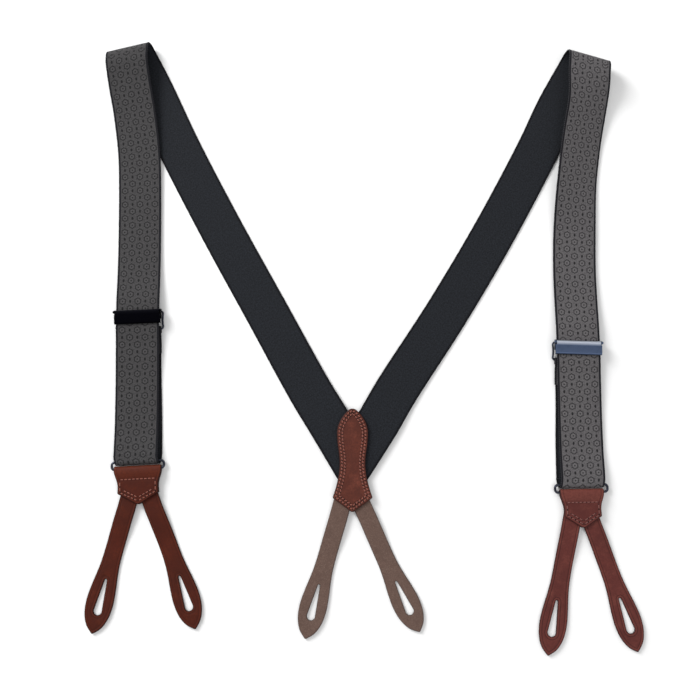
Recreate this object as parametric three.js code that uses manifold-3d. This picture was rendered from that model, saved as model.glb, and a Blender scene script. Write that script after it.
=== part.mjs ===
// Button-on suspenders laid flat: two webbing straps that meet under a leather cross patch,
// each with a shoulder fold, a lever adjuster, a wire ring and a leather tab with two ears.
// Millimetres, +Z up, +Y towards the shoulder folds. Left and right are as seen from above.
import * as THREE from "three";
import { mergeVertices } from "three/addons/utils/BufferGeometryUtils.js";
import Module from "manifold-3d";

// ---------- driving dimensions ----------
const GAP = 0.3; // between pieces that touch
const WEB_WIDTH = 35;
const WEB_THICK = 1.2;
const PLY_THICK = 1.5; // leather of the tabs and the cross patch
const EAR_THICK = 1.8;

const EAR_WIDTH = 14.4;
const EAR_BULB_WIDTH = 21.4;
const EAR_ROOT = 24; // length hidden in the patch, up to the point where the ear leaves it
const FRONT_EAR_REACH = 98.5; // from that point to the tip
const BACK_EAR_REACH = 94.2;
const SLOT_FROM_TIP = 14.6; // end of the buttonhole nearest the tip
const SLOT_LENGTH = 28;
const SLOT_END_RADIUS = 3.1;
const SLOT_TOP_RADIUS = 0.8;

const RING_WIRE = 2;
const WIRE_CLEARANCE = 0.2; // between the ring's bar and the leather folded round it
const RING_FOLD_CLEARANCE = 0.5; // between the webbing and the leather, each round its bar
const RING_SIDE_CLEARANCE = 0.7; // each side of the webbing, inside the ring
const RING_CORNER = 2.4;
const RETURN_SHIFT = 3; // the webbing comes back this far inboard after its turn round the ring
const RING_TO_ADJUSTER = { left: 120.4, right: 113.2 };

const LEVER_LENGTH = 11.2;
const LEVER_SHEET = 0.8;
const KNUCKLE_RADIUS = 1.25;
const PIN_RADIUS = 0.6;
const PIN_CLEARANCE = 0.08;
const FRAME_SHEET = 0.8;
const FRAME_LENGTH = 8.2;
const FRAME_SIDE_CLEARANCE = 0.5;
const LOOP_WIRE = 1.6;
const LOOP_HEIGHT = 16.3; // outside, along the strap
const LOOP_SHIFT = 0.9; // inboard
const HEM_LENGTH = 20;
const TOOTH_COUNT = 14;

const TAB_TOP_WIDTH = { left: WEB_WIDTH + 2.6, right: WEB_WIDTH - 0.4 };
const TAB_LENGTH = 27.7; // lower bar of the ring to the point of the tab
const PATCH_LENGTH = 81.5;
const PATCH_BOTTOM_Y = -129.5;

// Where each strap lies on the table, in plan. Back: centre line from the patch to the fold.
// Front: centre line from the fold to the straight lower leg. Bank tips the inner edge up.
const LAYOUT = {
  left: {
    inboard: 1,
    back: [[8, -103], [-18.6, -58.7], [-34.1, -33.3], [-70.5, 32.6], [-107.9, 100.2],
      [-144.3, 169.8], [-169.6, 223.2]],
    foldStart: [-183.9, 250.8],
    foldAngle: 14,
    foldRadius: 6.5,
    front: [[-186.5, 226], [-182, 200], [-177.5, 165], [-176, 135]],
    straightTop: [-174.6, 78],
    ringBar: [-171.8, -90],
    bank: 0,
    adjusterTilt: 1.6,
    ringTilt: 2,
  },
  right: {
    inboard: -1,
    back: [[-8, -103], [20, -59.5], [34.8, -34.1], [77.6, 31.9], [118, 99.9],
      [155.3, 169.7], [172.3, 205.2]],
    foldStart: [193.1, 242.3],
    foldAngle: -17,
    foldRadius: 7.5,
    front: [[196.5, 212], [190.5, 175], [185, 134], [182.5, 92]],
    straightTop: [181.6, 62],
    ringBar: [182.1, -108.1],
    bank: 14,
    adjusterTilt: -2,
    ringTilt: 1,
  },
};
// Each ear: where its centre line leaves the patch, in the patch's own frame, and its heading
// from straight down (positive towards +X). Bow is its sideways sweep at mid length.
const EARS = {
  left: {
    outer: { at: [-9.8, -30.8], heading: -16.8, bow: -0.8 },
    inner: { at: [12, -31.8], heading: 17.7, bow: 1.4 },
  },
  right: {
    inner: { at: [-10.4, -28.4], heading: -13, bow: -0.4 },
    outer: { at: [8.3, -28.8], heading: 17, bow: 0.8 },
  },
  back: {
    left: { at: [-11.7, -6.2], heading: -15.4, bow: -0.6 },
    right: { at: [12.7, -6.2], heading: 24.7, bow: -0.6 },
  },
};

// ---------- levels that follow from the thicknesses ----------
const RISE = WEB_THICK + GAP; // one more layer of webbing
const Z_TABLE = WEB_THICK / 2;
const Z_SECOND = Z_TABLE + RISE;
// Between the two plies of a tab or of the patch: room for an ear, and for the ring's bar.
const PLY_SPACE = Math.max(EAR_THICK + 2 * GAP, RING_WIRE + 2 * WIRE_CLEARANCE);
const Z_BAR = PLY_THICK + PLY_SPACE / 2; // both bars of the ring
const RING_TURN = Z_BAR - Z_TABLE; // radius of the webbing's turn, at its middle
const Z_AT_RING = Z_BAR + RING_TURN;
const RING_BAR_SPACING = RING_TURN + WEB_THICK / 2 + RING_FOLD_CLEARANCE + Z_BAR;
const Z_IN_PATCH = PLY_THICK + GAP + WEB_THICK / 2;
const LOOP_RADIUS = LOOP_WIRE / 2;
const Z_LOOP = WEB_THICK + GAP + LOOP_RADIUS;
const HEM_TURN = Z_LOOP - Z_TABLE;
const Z_HEM_TOP = Z_LOOP + HEM_TURN;
const Z_FRAME = Z_LOOP + LOOP_RADIUS + GAP; // underside of the adjuster frame
const Z_AT_ADJUSTER =
  Math.max(Z_FRAME + FRAME_SHEET, Z_HEM_TOP + WEB_THICK / 2) + GAP + WEB_THICK / 2;
const Z_PIN = Z_AT_ADJUSTER + WEB_THICK / 2 + GAP + KNUCKLE_RADIUS;
const FRAME_INSIDE = WEB_WIDTH / 2 + FRAME_SIDE_CLEARANCE;
const FRAME_OUTSIDE = FRAME_INSIDE + FRAME_SHEET;
const LOOP_TOP_Y = 0.4; // upper bar of the wire loop above the pin
const LOOP_BOTTOM_Y = LOOP_TOP_Y - (LOOP_HEIGHT - LOOP_WIRE);

const wasm = await Module();
wasm.setup();
const rad = THREE.MathUtils.degToRad;
const UP = new THREE.Vector3(0, 0, 1);

// ---------- materials ----------
const material = (color, roughness, metalness = 0) =>
  new THREE.MeshStandardMaterial({ color, roughness, metalness });
const webbingOuter = () => material(0x5c5a5a, 0.85);
const webbingInner = () => material(0x24282e, 0.9);
const tabLeatherColor = { left: 0x54261a, right: 0x693e3a };
const patchLeather = () => material(0x763e34, 0.55);
const suede = () => material(0x6e584e, 0.95);
const darkNickel = () => material(0x3a3f48, 0.3, 0.9);

// ---------- small tools ----------
function positionsOnly(geometry) {
  const plain = new THREE.BufferGeometry();
  plain.setAttribute("position", geometry.getAttribute("position"));
  if (geometry.index) plain.setIndex(geometry.index);
  return mergeVertices(plain, 1e-4);
}

function toSolid(geometry) {
  const merged = positionsOnly(geometry);
  return new wasm.Manifold(new wasm.Mesh({
    numProp: 3,
    vertProperties: new Float32Array(merged.attributes.position.array),
    triVerts: new Uint32Array(merged.index.array),
  }));
}

function toGeometry(solid) {
  const mesh = solid.getMesh();
  const positions = new Float32Array(mesh.numVert * 3);
  for (let i = 0; i < mesh.numVert; i++) {
    const start = i * mesh.numProp;
    positions.set(mesh.vertProperties.subarray(start, start + 3), i * 3);
  }
  const geometry = new THREE.BufferGeometry();
  geometry.setAttribute("position", new THREE.BufferAttribute(positions, 3));
  geometry.setIndex(new THREE.BufferAttribute(new Uint32Array(mesh.triVerts), 1));
  return geometry;
}

const join = (first, ...rest) =>
  toGeometry(rest.reduce((sum, g) => sum.add(toSolid(g)), toSolid(first)));
const cut = (first, ...rest) =>
  toGeometry(rest.reduce((left, g) => left.subtract(toSolid(g)), toSolid(first)));
const overlap = (a, b) => toGeometry(toSolid(a).intersect(toSolid(b)));

// A closed solid from vertex positions and outward or inward quads, turned to face out.
function closedSolid(positions, quads) {
  const indices = quads.flatMap(([a, b, c, d]) => [a, b, c, a, c, d]);
  const at = (i) => positions[i];
  let volume = 0;
  for (let i = 0; i < indices.length; i += 3) {
    const [a, b, c] = [at(indices[i]), at(indices[i + 1]), at(indices[i + 2])];
    volume += a.dot(new THREE.Vector3().crossVectors(b, c));
  }
  if (volume < 0) indices.reverse();
  const geometry = new THREE.BufferGeometry().setFromPoints(positions);
  geometry.setIndex(indices);
  return geometry;
}

// A sheet of even thickness. surface(u, v) gives the middle point and the normal,
// u from -1 to 1 across and v from 0 to 1 along.
function sheetSolid(columns, rows, thickness, surface) {
  const positions = [];
  for (let j = 0; j <= rows; j++)
    for (let i = 0; i <= columns; i++) {
      const { point, normal } = surface((2 * i) / columns - 1, j / rows);
      positions.push(point.clone().addScaledVector(normal, thickness / 2));
      positions.push(point.clone().addScaledVector(normal, -thickness / 2));
    }
  const top = (i, j) => 2 * (j * (columns + 1) + i);
  const bottom = (i, j) => top(i, j) + 1;
  const quads = [];
  for (let j = 0; j < rows; j++)
    for (let i = 0; i < columns; i++) {
      quads.push([top(i, j), top(i + 1, j), top(i + 1, j + 1), top(i, j + 1)]);
      quads.push([bottom(i, j), bottom(i, j + 1), bottom(i + 1, j + 1), bottom(i + 1, j)]);
    }
  for (let j = 0; j < rows; j++) {
    quads.push([top(0, j), top(0, j + 1), bottom(0, j + 1), bottom(0, j)]);
    quads.push([top(columns, j), bottom(columns, j), bottom(columns, j + 1), top(columns, j + 1)]);
  }
  for (let i = 0; i < columns; i++) {
    quads.push([top(i, 0), bottom(i, 0), bottom(i + 1, 0), top(i + 1, 0)]);
    quads.push([top(i, rows), top(i + 1, rows), bottom(i + 1, rows), bottom(i, rows)]);
  }
  return closedSolid(positions, quads);
}

// Webbing along a curve that keeps near the table and never dips below it. startEdge and
// endEdge are the directions of its two ends where they aren't square to it, and bankAt(v)
// is its roll about its own length, in degrees.
function webbingAlong(curve, rows, { startEdge, endEdge, bankAt = () => 0 }) {
  return sheetSolid(1, rows, WEB_THICK, (u, v) => {
    const along = curve.getTangentAt(v);
    const across = new THREE.Vector3().crossVectors(UP, along).normalize();
    const level = new THREE.Vector3().crossVectors(along, across);
    const bank = rad(bankAt(v));
    const side = across.clone();
    for (const [edge, weight] of [[startEdge, 1 - ramp(v, 0, 0.25)], [endEdge, ramp(v, 0.75, 1)]])
      if (edge) side.lerp(edge.clone().divideScalar(edge.dot(across)), weight);
    side.multiplyScalar(Math.cos(bank)).addScaledVector(level, Math.sin(bank));
    const normal = new THREE.Vector3().crossVectors(along, side).normalize();
    const point = curve.getPointAt(v);
    point.z = Math.max(point.z, Z_TABLE + (Math.abs(Math.sin(bank)) * WEB_WIDTH) / 2);
    return { point: point.addScaledVector(side, (u * WEB_WIDTH) / 2), normal };
  });
}

// Webbing bent round a bar: profile is a 2-D path of (y, z), shiftAt(v) moves it along the bar.
function webbingRound(profile, rows, shiftAt = () => 0) {
  return sheetSolid(1, rows, WEB_THICK, (u, v) => {
    const at = profile.getPointAt(v);
    const along = profile.getTangentAt(v);
    const point = new THREE.Vector3((u * WEB_WIDTH) / 2 + shiftAt(v), at.x, at.y);
    return { point, normal: new THREE.Vector3(0, -along.y, along.x) };
  });
}

const smooth = (t) => t * t * (3 - 2 * t);
const ramp = (x, from, to) => smooth(THREE.MathUtils.clamp((x - from) / (to - from), 0, 1));

// Extrusions: a plan outline raised along Z, and a (y, z) profile carried across along X.
const raised = (shape, height, z = 0) =>
  new THREE.ExtrudeGeometry(shape, { depth: height, bevelEnabled: false, curveSegments: 10 })
    .translate(0, 0, z);
const CROSSWISE = new THREE.Matrix4().makeBasis(
  new THREE.Vector3(0, 1, 0), new THREE.Vector3(0, 0, 1), new THREE.Vector3(1, 0, 0));
const carriedAcross = (shape, width, x = 0) =>
  new THREE.ExtrudeGeometry(shape, { depth: width, bevelEnabled: false, curveSegments: 10 })
    .translate(0, 0, x - width / 2).applyMatrix4(CROSSWISE);
const block = (x0, x1, y0, y1, z0, z1) =>
  new THREE.BoxGeometry(x1 - x0, y1 - y0, z1 - z0)
    .translate((x0 + x1) / 2, (y0 + y1) / 2, (z0 + z1) / 2);

// A closed ring of round wire through points in a level plane.
function wireRing(points, wire, z) {
  const sides = 10;
  const count = points.length;
  const corners = points.map(([x, y]) => new THREE.Vector3(x, y, z));
  const positions = corners.flatMap((corner, i) => {
    const before = corner.clone().sub(corners[(i + count - 1) % count]).normalize();
    const after = corners[(i + 1) % count].clone().sub(corner).normalize();
    const outward = before.add(after).normalize().cross(UP);
    return Array.from({ length: sides }, (_, k) => {
      const angle = (2 * Math.PI * k) / sides;
      return corner.clone().addScaledVector(outward, (wire / 2) * Math.cos(angle))
        .addScaledVector(UP, (wire / 2) * Math.sin(angle));
    });
  });
  const quads = [];
  for (let i = 0; i < count; i++)
    for (let k = 0; k < sides; k++) {
      const [here, there] = [i * sides, ((i + 1) % count) * sides];
      const next = (k + 1) % sides;
      quads.push([here + k, here + next, there + next, there + k]);
    }
  return closedSolid(positions, quads);
}

// Points round a rectangle with rounded corners, centred on (x, y).
function roundedRectangle(x, y, width, height, corner) {
  const stepsPerCorner = 4;
  const points = [];
  for (const [sx, sy, start] of [[1, 1, 0], [-1, 1, 90], [-1, -1, 180], [1, -1, 270]])
    for (let i = 0; i <= stepsPerCorner; i++) {
      const angle = rad(start + (90 * i) / stepsPerCorner);
      points.push([
        x + sx * (width / 2 - corner) + corner * Math.cos(angle),
        y + sy * (height / 2 - corner) + corner * Math.sin(angle),
      ]);
    }
  return points;
}

const mesh = (name, geometry, look) => {
  const made = new THREE.Mesh(geometry, look);
  made.name = name;
  return made;
};

// ---------- leather ----------
// Half width of an ear at a distance from its tip.
const EAR_OUTLINE = [[0, 0], [1.2, 0.155], [5.8, 0.57], [13.5, 0.88], [24, 1], [36.8, 0.905],
  [44.7, 0.8], [54, 0.705], [64, EAR_WIDTH / EAR_BULB_WIDTH]];
function earHalfWidth(fromTip) {
  if (fromTip >= EAR_OUTLINE.at(-1)[0]) return EAR_WIDTH / 2;
  const next = EAR_OUTLINE.findIndex(([d]) => d > fromTip);
  const [d0, w0] = EAR_OUTLINE[next - 1];
  const [d1, w1] = EAR_OUTLINE[next];
  return (EAR_BULB_WIDTH / 2) * (w0 + ((w1 - w0) * (fromTip - d0)) / (d1 - d0));
}

// Half width of the buttonhole: a long drop with a round end near the tip.
function slotHalfWidth(fromTip) {
  const endCentre = SLOT_FROM_TIP + SLOT_END_RADIUS;
  const topCentre = SLOT_FROM_TIP + SLOT_LENGTH - SLOT_TOP_RADIUS;
  const round = (radius, away) => Math.sqrt(Math.max(radius * radius - away * away, 0));
  if (fromTip < endCentre) return round(SLOT_END_RADIUS, fromTip - endCentre);
  if (fromTip > topCentre) return round(SLOT_TOP_RADIUS, fromTip - topCentre);
  const share = (fromTip - endCentre) / (topCentre - endCentre);
  return SLOT_END_RADIUS + (SLOT_TOP_RADIUS - SLOT_END_RADIUS) * share;
}

// Distances from the tip at which the ear is cut into rows, tip first.
function earRows(length) {
  const slotEnd = SLOT_FROM_TIP;
  const slotTop = SLOT_FROM_TIP + SLOT_LENGTH;
  const roundEnd = [0, 0.12, 0.45, 1, 1.9, SLOT_END_RADIUS].map((d) => slotEnd + d);
  const slotBody = [0.25, 0.45, 0.65, 0.85].map((k) => slotEnd + k * SLOT_LENGTH);
  const roundTop = [SLOT_TOP_RADIUS, 0.3, 0].map((d) => slotTop - d);
  const stem = [];
  for (let d = slotTop + 4; d < length - 2; d += 6) stem.push(d);
  return [0.35, 1.2, 3.2, 5.8, 9.5, 13, ...roundEnd, ...slotBody, ...roundTop, ...stem, length];
}

// An ear lying along -Y from its root at y = 0, level in the patch and then down to the table.
function earSolid(reach, bow) {
  const length = EAR_ROOT + reach;
  const rows = earRows(length);
  const zRoot = PLY_THICK + GAP + EAR_THICK / 2;
  const zRest = EAR_THICK / 2;
  const place = (x, fromTip, face) => {
    const fromRoot = length - fromTip;
    const share = Math.max(fromRoot - EAR_ROOT, 0) / reach;
    const z = zRoot + (zRest - zRoot) * ramp(fromRoot, EAR_ROOT + 2, EAR_ROOT + 32);
    return new THREE.Vector3(x + 4 * bow * share * (1 - share), -fromRoot,
      z + (face * EAR_THICK) / 2);
  };
  const positions = [];
  const ids = rows.map((d) => {
    const half = earHalfWidth(d);
    const slot = slotHalfWidth(d);
    const xs = slot > 0 ? [-half, -slot, slot, half] : [-half, 0, 0, half];
    const row = xs.map((x, i) => {
      if (slot === 0 && i === 2) return null; // shares the centre vertex
      positions.push(place(x, d, 1), place(x, d, -1));
      return positions.length - 2;
    });
    if (row[2] === null) row[2] = row[1];
    return row;
  });
  const quads = [];
  for (let j = 0; j + 1 < rows.length; j++) {
    const [a, b] = [ids[j], ids[j + 1]];
    for (const i of [0, 2]) {
      quads.push([a[i], a[i + 1], b[i + 1], b[i]]);
      quads.push([a[i] + 1, b[i] + 1, b[i + 1] + 1, a[i + 1] + 1]);
    }
    quads.push([a[0], b[0], b[0] + 1, a[0] + 1]);
    quads.push([a[3], a[3] + 1, b[3] + 1, b[3]]);
    if (a[1] !== a[2] || b[1] !== b[2]) {
      quads.push([a[1], a[1] + 1, b[1] + 1, b[1]]);
      quads.push([a[2], b[2], b[2] + 1, a[2] + 1]);
    }
  }
  for (const [row, turn] of [[ids[0], false], [ids.at(-1), true]])
    for (const i of [0, 2]) {
      const quad = [row[i], row[i] + 1, row[i + 1] + 1, row[i + 1]];
      quads.push(turn ? quad.reverse() : quad);
    }
  return closedSolid(positions, quads);
}

// An ear in its patch's frame, its root cut along the patch's centre line.
function placedEar({ at, heading, bow }, reach) {
  const angle = rad(heading);
  const ear = earSolid(reach, bow);
  ear.translate(0, EAR_ROOT, 0);
  ear.rotateZ(angle);
  ear.translate(at[0], at[1], 0);
  const far = EAR_ROOT + reach;
  const beyond = at[0] < 0 ? [-GAP / 2, far] : [-far, GAP / 2];
  return cut(ear, block(...beyond, at[1] - EAR_ROOT * 0.2, far, -far, far));
}

// One leather piece folded round the ring's lower bar, its outline drawn about that bar.
function tabLeather(topWidth) {
  const outer = Z_BAR;
  const inner = Z_BAR - PLY_THICK;
  const end = -TAB_LENGTH - 1;
  const profile = new THREE.Shape();
  profile.moveTo(end, -outer);
  profile.absarc(0, 0, outer, -Math.PI / 2, Math.PI / 2, false);
  profile.lineTo(end, outer);
  profile.lineTo(end, inner);
  profile.absarc(0, 0, inner, Math.PI / 2, -Math.PI / 2, true);
  profile.lineTo(end, -inner);
  const half = topWidth / 2;
  const waist = half - 2.9;
  const outline = new THREE.Shape();
  outline.moveTo(-half, outer + 1);
  outline.lineTo(half, outer + 1);
  outline.lineTo(half, 0);
  outline.bezierCurveTo(half, -5, waist, -8, waist, -14);
  outline.lineTo(waist + 0.3, 8.8 - TAB_LENGTH);
  outline.lineTo(3, 1.2 - TAB_LENGTH);
  outline.quadraticCurveTo(0, -TAB_LENGTH - 1.2, -3, 1.2 - TAB_LENGTH);
  outline.lineTo(-waist - 0.3, 8.8 - TAB_LENGTH);
  outline.lineTo(-waist, -14);
  outline.bezierCurveTo(-waist, -8, -half, -5, -half, 0);
  const folded = carriedAcross(profile, topWidth + 2);
  return overlap(folded, raised(outline, 4 * outer, -2 * outer)).translate(0, 0, Z_BAR);
}

// The waisted outline of the cross patch, from its pointed foot at (0, 0) up.
function patchOutline() {
  const outline = new THREE.Shape();
  outline.moveTo(2.4, 1.2);
  outline.lineTo(15.8, 11);
  outline.bezierCurveTo(12, 22, 10.2, 30, 10.2, 38);
  outline.bezierCurveTo(10.2, 46, 12.4, 52, 12.4, 62);
  outline.bezierCurveTo(12.4, 71, 6, 78, 3, PATCH_LENGTH - 1);
  outline.quadraticCurveTo(0, PATCH_LENGTH + 1, -3, PATCH_LENGTH - 1);
  outline.bezierCurveTo(-6, 78, -12.4, 71, -12.4, 62);
  outline.bezierCurveTo(-12.4, 52, -10.2, 46, -10.2, 38);
  outline.bezierCurveTo(-10.2, 30, -12, 22, -15.8, 11);
  outline.lineTo(-2.4, 1.2);
  outline.quadraticCurveTo(0, -1.2, 2.4, 1.2);
  return outline;
}

function crossPatch() {
  const group = new THREE.Group();
  group.name = "patch_group";
  group.position.y = PATCH_BOTTOM_Y;
  const ply = (z) => raised(patchOutline(), PLY_THICK, z);
  group.add(mesh("cross_patch_under", ply(0), patchLeather()));
  group.add(mesh("cross_patch_top", ply(PLY_THICK + PLY_SPACE), patchLeather()));
  for (const [which, ear] of Object.entries(EARS.back))
    group.add(mesh(`back_ear_${which}`, placedEar(ear, BACK_EAR_REACH), suede()));
  return group;
}

// ---------- webbing of one strap ----------
// Directions at the shoulder fold. The fold rolls the flat webbing about a level axis.
function foldFrame(layout) {
  const start = new THREE.Vector3(...layout.foldStart, Z_TABLE);
  const axis = new THREE.Vector3(1, 0, 0).applyAxisAngle(UP, rad(layout.foldAngle));
  const away = new THREE.Vector3(0, 1, 0).applyAxisAngle(UP, rad(layout.foldAngle));
  const [x, y] = layout.back.at(-1);
  const arriving = start.clone().sub(new THREE.Vector3(x, y, Z_TABLE)).normalize();
  const slant = arriving.dot(axis) / arriving.dot(away);
  const turn = Math.PI * layout.foldRadius;
  const end = start.clone().addScaledVector(axis, slant * turn);
  end.z += 2 * layout.foldRadius;
  const leaving = axis.clone().multiplyScalar(slant).sub(away).normalize();
  return { start, end, axis, away, arriving, leaving, slant, turn };
}

function backWebbing(layout) {
  const { start, axis, arriving } = foldFrame(layout);
  const heights = [Z_IN_PATCH, Z_IN_PATCH, (Z_IN_PATCH + Z_TABLE) / 2];
  const points = layout.back.map(([x, y], i) => new THREE.Vector3(x, y, heights[i] ?? Z_TABLE));
  points.push(start.clone().addScaledVector(arriving, -GAP / 2));
  const curve = new THREE.CatmullRomCurve3(points, false, "centripetal");
  const strap = webbingAlong(curve, 44, { endEdge: axis });
  const far = 200;
  const beyond = layout.inboard > 0 ? [-GAP / 2, far] : [-far, GAP / 2];
  const cutBelow = PATCH_BOTTOM_Y + EAR_ROOT;
  return cut(strap, block(...beyond, -far, far, -far, far),
    block(-far, far, -far, cutBelow, -far, far));
}

function shoulderFold(layout) {
  const { start, axis, away, slant, turn } = foldFrame(layout);
  const half = (WEB_WIDTH / 2) * Math.hypot(1, slant);
  const gapAngle = GAP / 2 / layout.foldRadius;
  return sheetSolid(4, 20, WEB_THICK, (u, v) => {
    const angle = gapAngle + v * (Math.PI - 2 * gapAngle);
    const along = (angle / Math.PI) * turn * slant + u * half;
    const point = start.clone().addScaledVector(axis, along);
    point.addScaledVector(away, layout.foldRadius * Math.sin(angle));
    point.z += layout.foldRadius * (1 - Math.cos(angle));
    const normal = away.clone().multiplyScalar(-Math.sin(angle));
    return { point, normal: normal.addScaledVector(UP, Math.cos(angle)) };
  });
}

// The lower leg's own line: the ring's upper bar, the way up it, and the adjuster's pin.
function legFrame(side) {
  const layout = LAYOUT[side];
  const bar = new THREE.Vector3(...layout.ringBar, 0);
  const top = new THREE.Vector3(...layout.straightTop, 0);
  const up = top.clone().sub(bar).normalize();
  const lean = Math.atan2(-up.x, up.y);
  const pin = bar.clone().addScaledVector(up, RING_TO_ADJUSTER[side]);
  const onLeg = (abovePin, z) => pin.clone().addScaledVector(up, abovePin).setZ(z);
  const turned = (tilt) => new THREE.Vector3(1, 0, 0).applyAxisAngle(UP, lean + rad(tilt));
  return { bar, top, up, lean, pin, onLeg, ringEdge: turned(layout.ringTilt),
    adjusterEdge: turned(layout.adjusterTilt) };
}

// Outer webbing between the fold and the ring, in two lengths that meet above the adjuster.
const CUT_ABOVE_PIN = 6;
const RING_STRAIGHT = 5; // straight ends of the pieces that turn round the ring and the loop
const HEM_STRAIGHT = 3;
function frontWebbing(side) {
  const layout = LAYOUT[side];
  const { end, axis, leaving } = foldFrame(layout);
  const { top, up, pin, onLeg } = legFrame(side);
  const drop = end.z - Z_SECOND;
  const banked = Z_SECOND + layout.bank * 0.22; // a banked strap rides higher at its middle
  const heights = [Z_SECOND + drop * 0.66, Math.max(Z_SECOND + drop * 0.3, banked),
    Math.max(Z_SECOND + drop * 0.08, banked), Z_SECOND];
  const topAbovePin = top.clone().sub(pin).dot(up);
  const curve = new THREE.CatmullRomCurve3([
    end.clone().addScaledVector(leaving, GAP / 2),
    end.clone().addScaledVector(leaving, layout.foldRadius).setZ(end.z - GAP),
    ...layout.front.map(([x, y], i) => new THREE.Vector3(x, y, heights[i])),
    onLeg(topAbovePin, Z_TABLE),
    onLeg(topAbovePin * 0.55, (Z_TABLE + Z_AT_ADJUSTER) * 0.45),
    onLeg(topAbovePin * 0.25, Z_AT_ADJUSTER - GAP),
    onLeg(CUT_ABOVE_PIN + GAP, Z_AT_ADJUSTER),
  ], false, "centripetal");
  const bankAt = (v) =>
    layout.inboard * layout.bank * ramp(v, 0, 0.18) * (1 - ramp(v, 0.4, 0.68));
  return webbingAlong(curve, 56, { startEdge: axis, bankAt });
}

function lowerFrontWebbing(side) {
  const { onLeg, ringEdge } = legFrame(side);
  const hemEnd = LOOP_BOTTOM_Y - HEM_LENGTH;
  const barDown = -RING_TO_ADJUSTER[side];
  const points = [
    onLeg(CUT_ABOVE_PIN, Z_AT_ADJUSTER),
    onLeg(-4, Z_AT_ADJUSTER),
    onLeg(LOOP_BOTTOM_Y - 1, Z_AT_ADJUSTER),
    onLeg(LOOP_BOTTOM_Y - HEM_LENGTH / 2, Z_SECOND + RISE + 0.7),
    onLeg(hemEnd - 2, Z_SECOND + RISE),
    onLeg(hemEnd - 20, Z_SECOND + GAP),
    onLeg(barDown + 26, Z_SECOND + GAP),
    onLeg(barDown + 13, (Z_SECOND + Z_AT_RING) / 2 + 0.5),
    onLeg(barDown + RING_STRAIGHT + GAP, Z_AT_RING),
  ];
  const curve = new THREE.CatmullRomCurve3(points, false, "centripetal");
  return webbingAlong(curve, 44, { endEdge: ringEdge });
}

// Drawn about the ring's upper bar: over it, down between the bars and back up underneath.
function ringTurnWebbing(layout) {
  const profile = new THREE.Path();
  profile.moveTo(RING_STRAIGHT, RING_TURN);
  profile.absarc(0, 0, RING_TURN, Math.PI / 2, (3 * Math.PI) / 2, false);
  profile.lineTo(RING_STRAIGHT, -RING_TURN);
  return webbingRound(profile, 24, (v) => layout.inboard * RETURN_SHIFT * smooth(v));
}

function returnWebbing(side) {
  const { onLeg, ringEdge, adjusterEdge } = legFrame(side);
  const place = (abovePin, shift) => {
    const point = onLeg(abovePin, Z_TABLE);
    point.x += LAYOUT[side].inboard * shift;
    return point;
  };
  const barDown = -RING_TO_ADJUSTER[side];
  const hemStart = LOOP_BOTTOM_Y - HEM_STRAIGHT - GAP;
  const curve = new THREE.CatmullRomCurve3([
    place(barDown + RING_STRAIGHT + GAP, RETURN_SHIFT),
    place(barDown + 35, RETURN_SHIFT * 0.85),
    place(hemStart - 35, (RETURN_SHIFT + LOOP_SHIFT) * 0.4),
    place(hemStart, LOOP_SHIFT),
  ], false, "centripetal");
  return webbingAlong(curve, 24, { startEdge: ringEdge, endEdge: adjusterEdge });
}

// Sewn end of the webbing round the wire loop's lower bar, drawn about the pin.
function hemWebbing() {
  const profile = new THREE.Path();
  profile.moveTo(LOOP_BOTTOM_Y - HEM_STRAIGHT, Z_TABLE);
  profile.absarc(LOOP_BOTTOM_Y, Z_LOOP, HEM_TURN, -Math.PI / 2, Math.PI / 2, false);
  const flatTop = LOOP_BOTTOM_Y - HEM_LENGTH * 0.5;
  const middle = (LOOP_BOTTOM_Y + flatTop) / 2;
  profile.bezierCurveTo(middle, Z_HEM_TOP, middle, Z_SECOND, flatTop, Z_SECOND);
  profile.lineTo(LOOP_BOTTOM_Y - HEM_LENGTH, Z_SECOND);
  return webbingRound(profile, 36);
}

// ---------- metal of one adjuster, drawn about the foot of its pin ----------
function adjusterFrame() {
  const top = FRAME_LENGTH * 0.26;
  const foot = top - FRAME_LENGTH;
  const plate = block(-FRAME_OUTSIDE, FRAME_OUTSIDE, foot, top, Z_FRAME, Z_FRAME + FRAME_SHEET);
  const cheek = new THREE.Shape();
  cheek.moveTo(-1.9, Z_FRAME);
  cheek.lineTo(1.9, Z_FRAME);
  cheek.lineTo(1.3, Z_PIN);
  cheek.absarc(0, Z_PIN, 1.3, 0, Math.PI, false);
  const pinHole = new THREE.Path();
  pinHole.absarc(0, Z_PIN, PIN_RADIUS + PIN_CLEARANCE, 0, 2 * Math.PI, true);
  cheek.holes.push(pinHole);
  const cheekX = (FRAME_INSIDE + FRAME_OUTSIDE) / 2;
  const cheeks = [-1, 1].map((s) => carriedAcross(cheek, FRAME_SHEET, s * cheekX));
  // Two curls of sheet that hold the wire loop's upper bar.
  const curl = new THREE.Shape();
  curl.absarc(LOOP_TOP_Y, Z_LOOP, LOOP_RADIUS + GAP + FRAME_SHEET, 0, 2 * Math.PI, false);
  const bore = new THREE.Path();
  bore.absarc(LOOP_TOP_Y, Z_LOOP, LOOP_RADIUS + GAP / 2, 0, 2 * Math.PI, true);
  curl.holes.push(bore);
  const curls = [-1, 1].map((s) => carriedAcross(curl, 6, s * WEB_WIDTH * 0.3));
  return join(plate, ...cheeks, ...curls);
}

function adjusterPin() {
  const headLength = 0.5;
  const headRadius = PIN_RADIUS + 0.35;
  const reach = FRAME_OUTSIDE + GAP;
  const profile = [[0, -reach - headLength], [headRadius, -reach - headLength],
    [headRadius, -reach], [PIN_RADIUS, -reach], [PIN_RADIUS, reach], [headRadius, reach],
    [headRadius, reach + headLength], [0, reach + headLength]];
  return new THREE.LatheGeometry(profile.map(([r, y]) => new THREE.Vector2(r, y)), 16)
    .rotateZ(Math.PI / 2).translate(0, 0, Z_PIN);
}

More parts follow.
